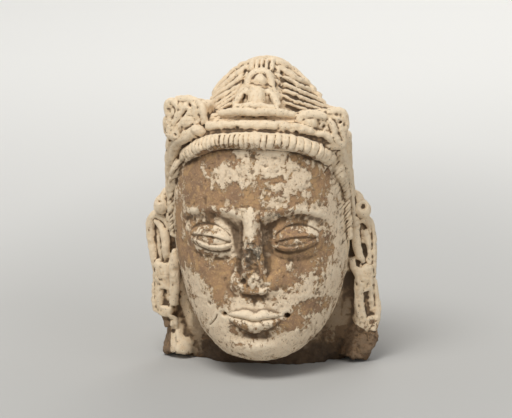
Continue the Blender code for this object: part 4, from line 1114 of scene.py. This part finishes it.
def clay_finish(colours):
    """Fired clay with worn slip, dirt and painted shade in the recesses, fresh breaks darkened by painted
    shade, and a dark stump, with painted highlights on the ridges and painted shade on the right brow.
    """
    finish = Finish("fired_clay_and_slip")
    ragged = finish.noise(3.6, 9.0, 0.72, 0.5)
    cloudy = finish.noise(9, 4.0)
    grain = finish.noise(0.9, 3.0, 0.7)
    crumbs = finish.noise(1.3, 5.0, 0.7)
    on_hair = finish.mask("hair")
    layout = finish.mask("slip") + (ragged - 0.5) * 1.2 + (crumbs - 0.5) * 0.95
    slip = layout.between(0.47, 0.53)
    thin = layout.between(0.44, 0.66)
    clay = finish.mix(cloudy.between(0.4, 0.6), colours.clay, colours.clay_dark)
    clay = finish.mix(finish.noise(6, 5.0, 0.6, 1.0).between(0.48, 0.64) * 0.7, clay, colours.ochre)
    clay = finish.mix(grain.between(0.54, 0.70) * 0.8, clay, colours.clay_warm)
    clay = finish.mix(crumbs.between(0.58, 0.70) * 0.45, clay, colours.face_slip)
    pale = finish.mix(on_hair.between(0.2, 0.9), colours.face_slip, colours.crown_slip)
    pale = finish.mix((1 - thin) * 0.45, pale, colours.clay_warm)
    pale = finish.mix(finish.noise(4, 6.0, 0.65).between(0.50, 0.68) * 0.36, pale, colours.stain)
    pale = finish.mix(finish.noise(7, 7.0, 0.7).between(0.52, 0.66) * on_hair * 0.30, pale, colours.ochre)
    pale = finish.mix(crumbs.between(0.52, 0.68) * 0.5, pale, colours.ochre)
    pale = finish.mix(finish.noise(0.8, 3.0, 0.7).between(0.56, 0.70) * 0.35, pale, colours.stain)
    # Painted highlight: the slip is lightened along convex ridges
    pale = finish.mix((0.5 - finish.mask("dirt_and_shade")).between(0.04, 0.4) * 0.5, pale, colours.ridge_highlight)
    colour = finish.mix(slip, clay, pale)
    # Breaks painted dark, partly as broken clay and partly as painted shade
    broken = (finish.mask("broken") + (ragged - 0.5) * 0.8).between(0.4, 0.6)
    crumbled = finish.noise(3, 6.0, 0.7).between(0.42, 0.6)
    break_in_shade = finish.mix(crumbled, colours.shaded_break_clay, colours.painted_shade_brown)
    colour = finish.mix(broken * 0.9, colour, break_in_shade)
    specks = finish.noise(1.4, 6.0, 0.75)
    # Dark patch on the nose stump, and painted shade on the right brow
    soot_and_brow_shade = (finish.mask("soot_and_brow_shade") * 0.55 + (specks - 0.5) * 1.7).between(0.34, 0.52)
    colour = finish.mix(soot_and_brow_shade * 0.8, colour, colours.soot_and_brow_shade)
    pits = (1 - finish.specks(1.5)).between(0.80, 0.92) * finish.noise(6, 2.0).between(0.38, 0.56)
    # Brown stain and painted shade in recesses, strongest on the hair
    recess = (finish.mask("recess") + (ragged - 0.5) * 0.6).between(0.52, 0.86) * (0.40 + on_hair * 0.35)
    # Painted shade in broad hollows and beside the jaw
    hollow = (finish.mask("hollow") + (ragged - 0.5) * 0.3).between(0.60, 0.95) * 0.75
    # Dirt and painted shade: narrow recesses, the pits and the stump under the chin are darkened
    dirt_and_shade = (finish.mask("dirt_and_shade") + (crumbs - 0.5) * 0.5).between(0.62, 1.0) * (0.5 + on_hair * 0.3)
    colour = finish.mix(recess, colour, colours.recess_stain_and_shade)
    colour = finish.mix(hollow, colour, colours.painted_shade_brown)
    colour = finish.mix(dirt_and_shade, colour, colours.dirt_and_shade)
    colour = finish.mix(pits * 0.7, colour, colours.dirt_and_shade)
    relief = slip * 0.5 + grain * 0.4 + crumbs * 0.8 + ragged * 0.6 - pits * 0.6
    bump = finish.node("ShaderNodeBump", inputs={"Strength": 0.9, "Distance": 0.001, "Height": relief})
    return finish.result(base_color=colour, roughness=0.93 - slip * 0.07, normal=bump)


def backdrop_finish(studio):
    """Matt pale paper, darkened towards the front by painted shade and around the head by a painted shadow.
    """
    finish = Finish("backdrop_paper")
    x, y = (finish.node("ShaderNodeSeparateXYZ", inputs={"Vector": finish.place}, output=k) for k in (0, 1))
    # Painted shade: the paper darkens towards the camera, and a painted shadow pools around the head
    far = y.between(-0.35, 1.25)
    painted_shadow_near_head = 1 - (x * x * 9 + (y - 0.1) * (y - 0.1)).between(0.0, 0.55)
    colour = finish.mix(far, tuple(studio.paper_shaded_near), tuple(studio.paper))
    colour = finish.mix(painted_shadow_near_head * 0.14, colour, (0, 0, 0))
    return finish.result(base_color=colour, roughness=0.9)


# What a user can change


def length(name, text, default, most):
    return FloatProperty(name=name, description=text, default=default, min=0.1, max=most)


def colour(name, text, default):
    return FloatVectorProperty(name=name, description=text, default=default, subtype="COLOR", min=0, max=1)


class ClayHeadSizes(bpy.types.PropertyGroup):
    """Sizes of the clay work, in parts of the head's height, 165 to the whole."""

    grain: length("Grain", "Smallest facet while the clay is worked", 0.5, 3.0)
    triangles: IntProperty(
        name="Triangles", description="Triangles of the finished piece", default=194000, min=5000
    )
    cord_radius: length("Cord radius", "Thickness of the cord over the brow", 4.3, 8.0)
    cord_side_radius: length("Cord side radius", "Thickness of the cord beside the face", 2.7, 6.0)
    notch_width: length("Notch width", "Width of the cuts across the cord", 0.95, 3.0)
    notch_depth: length("Notch depth", "Depth of the cuts across the cord", 1.25, 3.0)
    fillet_radius: length("Fillet radius", "Thickness of the plain roll above the cord", 2.2, 5.0)
    lock_radius: length("Lock radius", "Thickness of the locks on the topknot", 1.9, 4.0)
    mouth_drill: length("Mouth drill", "Radius of the holes at the mouth's corners", 1.5, 3.0)
    nose_stump: length("Nose stump", "How far the broken nose stands out", 5.6, 12.0)
    lobe_slot: length("Lobe slot", "Depth of the slot in each ear lobe", 2.3, 5.0)
    break_roughness: length("Break roughness", "Unevenness of the broken neck", 2.0, 5.0)
    pits: IntProperty(name="Pits", description="How many small chips are scattered", default=420, min=0)


class ClayHeadColours(bpy.types.PropertyGroup):
    """Colours of the clay, the slip and the dirt, and of the painted shade and highlight."""

    crown_slip: colour("Crown slip", "Slip on the hair, the crown and the ears", (0.87, 0.68, 0.455))
    # Painted highlight along the ridges
    ridge_highlight: colour("Worn edge", "Slip rubbed pale along the ridges", (0.93, 0.79, 0.59))
    face_slip: colour("Face slip", "Slip left on the face", (0.87, 0.70, 0.50))
    clay: colour("Clay", "Bare clay", (0.44, 0.265, 0.14))
    clay_warm: colour("Warm clay", "Golden grains of bare clay", (0.72, 0.47, 0.22))
    clay_dark: colour("Dark clay", "Darker clouds of bare clay", (0.32, 0.195, 0.115))
    ochre: colour("Ochre", "Ochre clouds in the clay and the slip", (0.56, 0.35, 0.165))
    stain: colour("Stain", "Grey stain on the slip", (0.50, 0.39, 0.275))
    # Broken clay darkened with painted shade
    shaded_break_clay: colour("Fresh break", "Clay inside a break", (0.20, 0.115, 0.058))
    # Brown stain and painted shade in recesses
    recess_stain_and_shade: colour("Warm dirt", "Brown stain in the recesses", (0.40, 0.245, 0.12))
    # Painted shade in broad hollows, beside the jaw and in the breaks
    painted_shade_brown: colour("Light dirt", "Dust in broad hollows", (0.14, 0.082, 0.04))
    # Dirt and painted shade in narrow recesses, in the pits and under the chin
    dirt_and_shade: colour("Dirt", "Dirt in narrow recesses", (0.085, 0.055, 0.032))
    # Dark nose stump and painted shade on the right brow
    soot_and_brow_shade: colour("Soot", "Dark patch on the broken nose", (0.115, 0.095, 0.07))


class ClayHeadStudio(bpy.types.PropertyGroup):
    """Camera, light and backdrop."""

    azimuth: FloatProperty(
        name="Azimuth", description="Camera's turn", default=math.radians(6), subtype="ANGLE"
    )
    elevation: FloatProperty(
        name="Elevation", description="Camera's rise", default=math.radians(10), subtype="ANGLE"
    )
    distance: FloatProperty(name="Distance", description="Camera to head", default=1.89, unit="LENGTH")
    lens: FloatProperty(name="Lens", description="Focal length", default=250.0, min=10, unit="CAMERA")
    key: FloatProperty(name="Key light", description="Power of the key light", default=20.2, unit="POWER")
    paper: colour("Paper", "Colour of the backdrop far behind", (0.88, 0.875, 0.85))
    # Painted shade: the paper's colour towards the camera
    paper_shaded_near: colour("Near paper", "Colour of the backdrop before the head", (0.45, 0.446, 0.43))


# One operator for each group of pieces


def settings():
    return bpy.context.scene.clay_head_sizes


def work_grain():
    return settings().grain


class CLAYHEAD_OT_masses(bpy.types.Operator):
    """Model the skull, neck, hair and flat ears as soft masses"""

    bl_idname = "clayhead.masses"
    bl_label = "Soft masses"

    def execute(self, context):
        soft_masses(work_grain())
        return {"FINISHED"}


class CLAYHEAD_OT_cord(bpy.types.Operator):
    """Lay the cord, the fillet and the straps along the hairline"""

    bl_idname = "clayhead.cord"
    bl_label = "Cord and fillet"

    def execute(self, context):
        cord_and_fillet(settings())
        return {"FINISHED"}


class CLAYHEAD_OT_blocks(bpy.types.Operator):
    """Model the leaf and scroll blocks over the temples"""

    bl_idname = "clayhead.blocks"
    bl_label = "Side blocks"

    def execute(self, context):
        side_blocks()
        return {"FINISHED"}


class CLAYHEAD_OT_figure(bpy.types.Operator):
    """Model the small seated figure and its seat"""

    bl_idname = "clayhead.figure"
    bl_label = "Seated figure"

    def execute(self, context):
        seated_figure()
        return {"FINISHED"}


class CLAYHEAD_OT_topknot(bpy.types.Operator):
    """Lay the locks of the topknot"""

    bl_idname = "clayhead.topknot"
    bl_label = "Topknot locks"

    def execute(self, context):
        topknot_locks(settings())
        return {"FINISHED"}


class CLAYHEAD_OT_ears(bpy.types.Operator):
    """Model the ears, their long lobes and the curls above them"""

    bl_idname = "clayhead.ears"
    bl_label = "Ears"

    def execute(self, context):
        ears()
        return {"FINISHED"}


class CLAYHEAD_OT_carve(bpy.types.Operator):
    """Fuse the clay into one body, carve the face and the tool cuts, break and weather it"""

    bl_idname = "clayhead.carve"
    bl_label = "Fuse and carve"

    def execute(self, context):
        names = ("masses", "cord", "side_blocks", "figure", "topknot_locks", "ears")
        head = fuse([bpy.data.objects[name] for name in names], work_grain(), 1)
        head.name = PIECE
        sizes = settings()
        skin = Surface(head.data)
        model_face(skin, sizes)
        notch_cord(skin, sizes)
        comb_back(skin)
        cut_details(skin, sizes)
        scrape_jaw(skin)
        break_away(skin, sizes)
        pit(skin, sizes)
        weather(skin)
        mark_surface(skin)
        sway(skin)
        thin_out(head, sizes)
        return {"FINISHED"}


class CLAYHEAD_OT_finish(bpy.types.Operator):
    """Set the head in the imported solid's place and give it its worn finish"""

    bl_idname = "clayhead.finish"
    bl_label = "Place and finish"

    def execute(self, context):
        head = bpy.data.objects[PIECE]
        set_in_box(head, *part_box(NODE))
        head.data.materials.clear()
        head.data.materials.append(clay_finish(context.scene.clay_head_colours))
        select_only(head)
        bpy.ops.object.shade_smooth()
        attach(head, "root")
        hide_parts(NODE)
        return {"FINISHED"}


def facing(away):
    """The turn of a light or a camera that looks back along a way."""
    return away.to_track_quat("Z", "Y").to_euler()


def select_edges(obj, wanted):
    """Selects the edges, in edit mode, that have both ends where they are wanted."""
    cage = bmesh.from_edit_mesh(obj.data)
    for edge in cage.edges:
        edge.select = all(wanted(vertex.co) for vertex in edge.verts)
    cage.select_flush(False)
    bmesh.update_edit_mesh(obj.data)


class CLAYHEAD_OT_stage(bpy.types.Operator):
    """Set up the pale backdrop, the soft lights and the camera"""

    bl_idname = "clayhead.stage"
    bl_label = "Stage"

    def execute(self, context):
        studio = context.scene.clay_head_studio
        deselect_all()
        bpy.ops.mesh.primitive_plane_add(size=6, location=(0, 1.0, 0), enter_editmode=True)
        floor = context.object
        floor.name = "backdrop"
        select_edges(floor, lambda at: at.y > 0)
        bpy.ops.mesh.extrude_region_move(TRANSFORM_OT_translate={"value": (0, 0, 4)})
        select_edges(floor, lambda at: at.y > 0 and at.z < 1)
        bpy.ops.mesh.bevel(offset=1.6, segments=24, affect="EDGES")
        bpy.ops.object.mode_set(mode="OBJECT")
        bpy.ops.object.transform_apply(location=True, rotation=True, scale=True)
        floor.data.materials.append(backdrop_finish(studio))
        bpy.ops.object.shade_smooth()
        for place, size, share, tint in LIGHTS:
            turn = facing(Vector(place) - VIEW_CENTRE)
            bpy.ops.object.light_add(type="AREA", location=place, rotation=turn)
            light = context.object.data
            light.shape = "DISK"
            light.size = size
            light.energy = studio.key * share
            light.color = tint
        world = bpy.data.worlds.new("studio")
        world.use_nodes = True
        surrounding = world.node_tree.nodes["Background"].inputs
        surrounding["Color"].default_value = (1, 1, 1, 1)
        surrounding["Strength"].default_value = SURROUNDING_LIGHT
        context.scene.world = world
        context.scene.view_settings.view_transform = "Standard"
        level = math.cos(studio.elevation)
        across, along = math.sin(studio.azimuth) * level, -math.cos(studio.azimuth) * level
        away = Vector((across, along, math.sin(studio.elevation)))
        place = VIEW_CENTRE + studio.distance * away
        bpy.ops.object.camera_add(location=place, rotation=facing(away))
        camera = context.object
        camera.data.lens = studio.lens
        camera.data.sensor_width = SENSOR_WIDTH
        context.scene.camera = camera
        return {"FINISHED"}


class CLAYHEAD_PT_panel(bpy.types.Panel):
    """The steps of the clay head, in order"""

    bl_idname = "CLAYHEAD_PT_panel"
    bl_label = "Clay Head"
    bl_space_type = "VIEW_3D"
    bl_region_type = "UI"
    bl_category = "Clay Head"

    def draw(self, context):
        for step in STEPS:
            self.layout.operator(step.bl_idname)
        for group in GROUPS:
            box = self.layout.box()
            held = getattr(context.scene, group)
            for name in held.__annotations__:
                box.prop(held, name)


STEPS = (
    CLAYHEAD_OT_masses, CLAYHEAD_OT_cord, CLAYHEAD_OT_blocks, CLAYHEAD_OT_figure, CLAYHEAD_OT_topknot,
    CLAYHEAD_OT_ears, CLAYHEAD_OT_carve, CLAYHEAD_OT_finish, CLAYHEAD_OT_stage,
)
GROUPS = {
    "clay_head_sizes": ClayHeadSizes,
    "clay_head_colours": ClayHeadColours,
    "clay_head_studio": ClayHeadStudio,
}
CLASSES = (*GROUPS.values(), *STEPS, CLAYHEAD_PT_panel)


def register():
    for item in CLASSES:
        bpy.utils.register_class(item)
    for name, group in GROUPS.items():
        setattr(bpy.types.Scene, name, PointerProperty(type=group))


def unregister():
    for name in GROUPS:
        delattr(bpy.types.Scene, name)
    for item in reversed(CLASSES):
        bpy.utils.unregister_class(item)


def main():
    register()
    for step in STEPS:
        area, name = step.bl_idname.split(".")
        getattr(getattr(bpy.ops, area), name)()


if __name__ == "__main__":
    main()
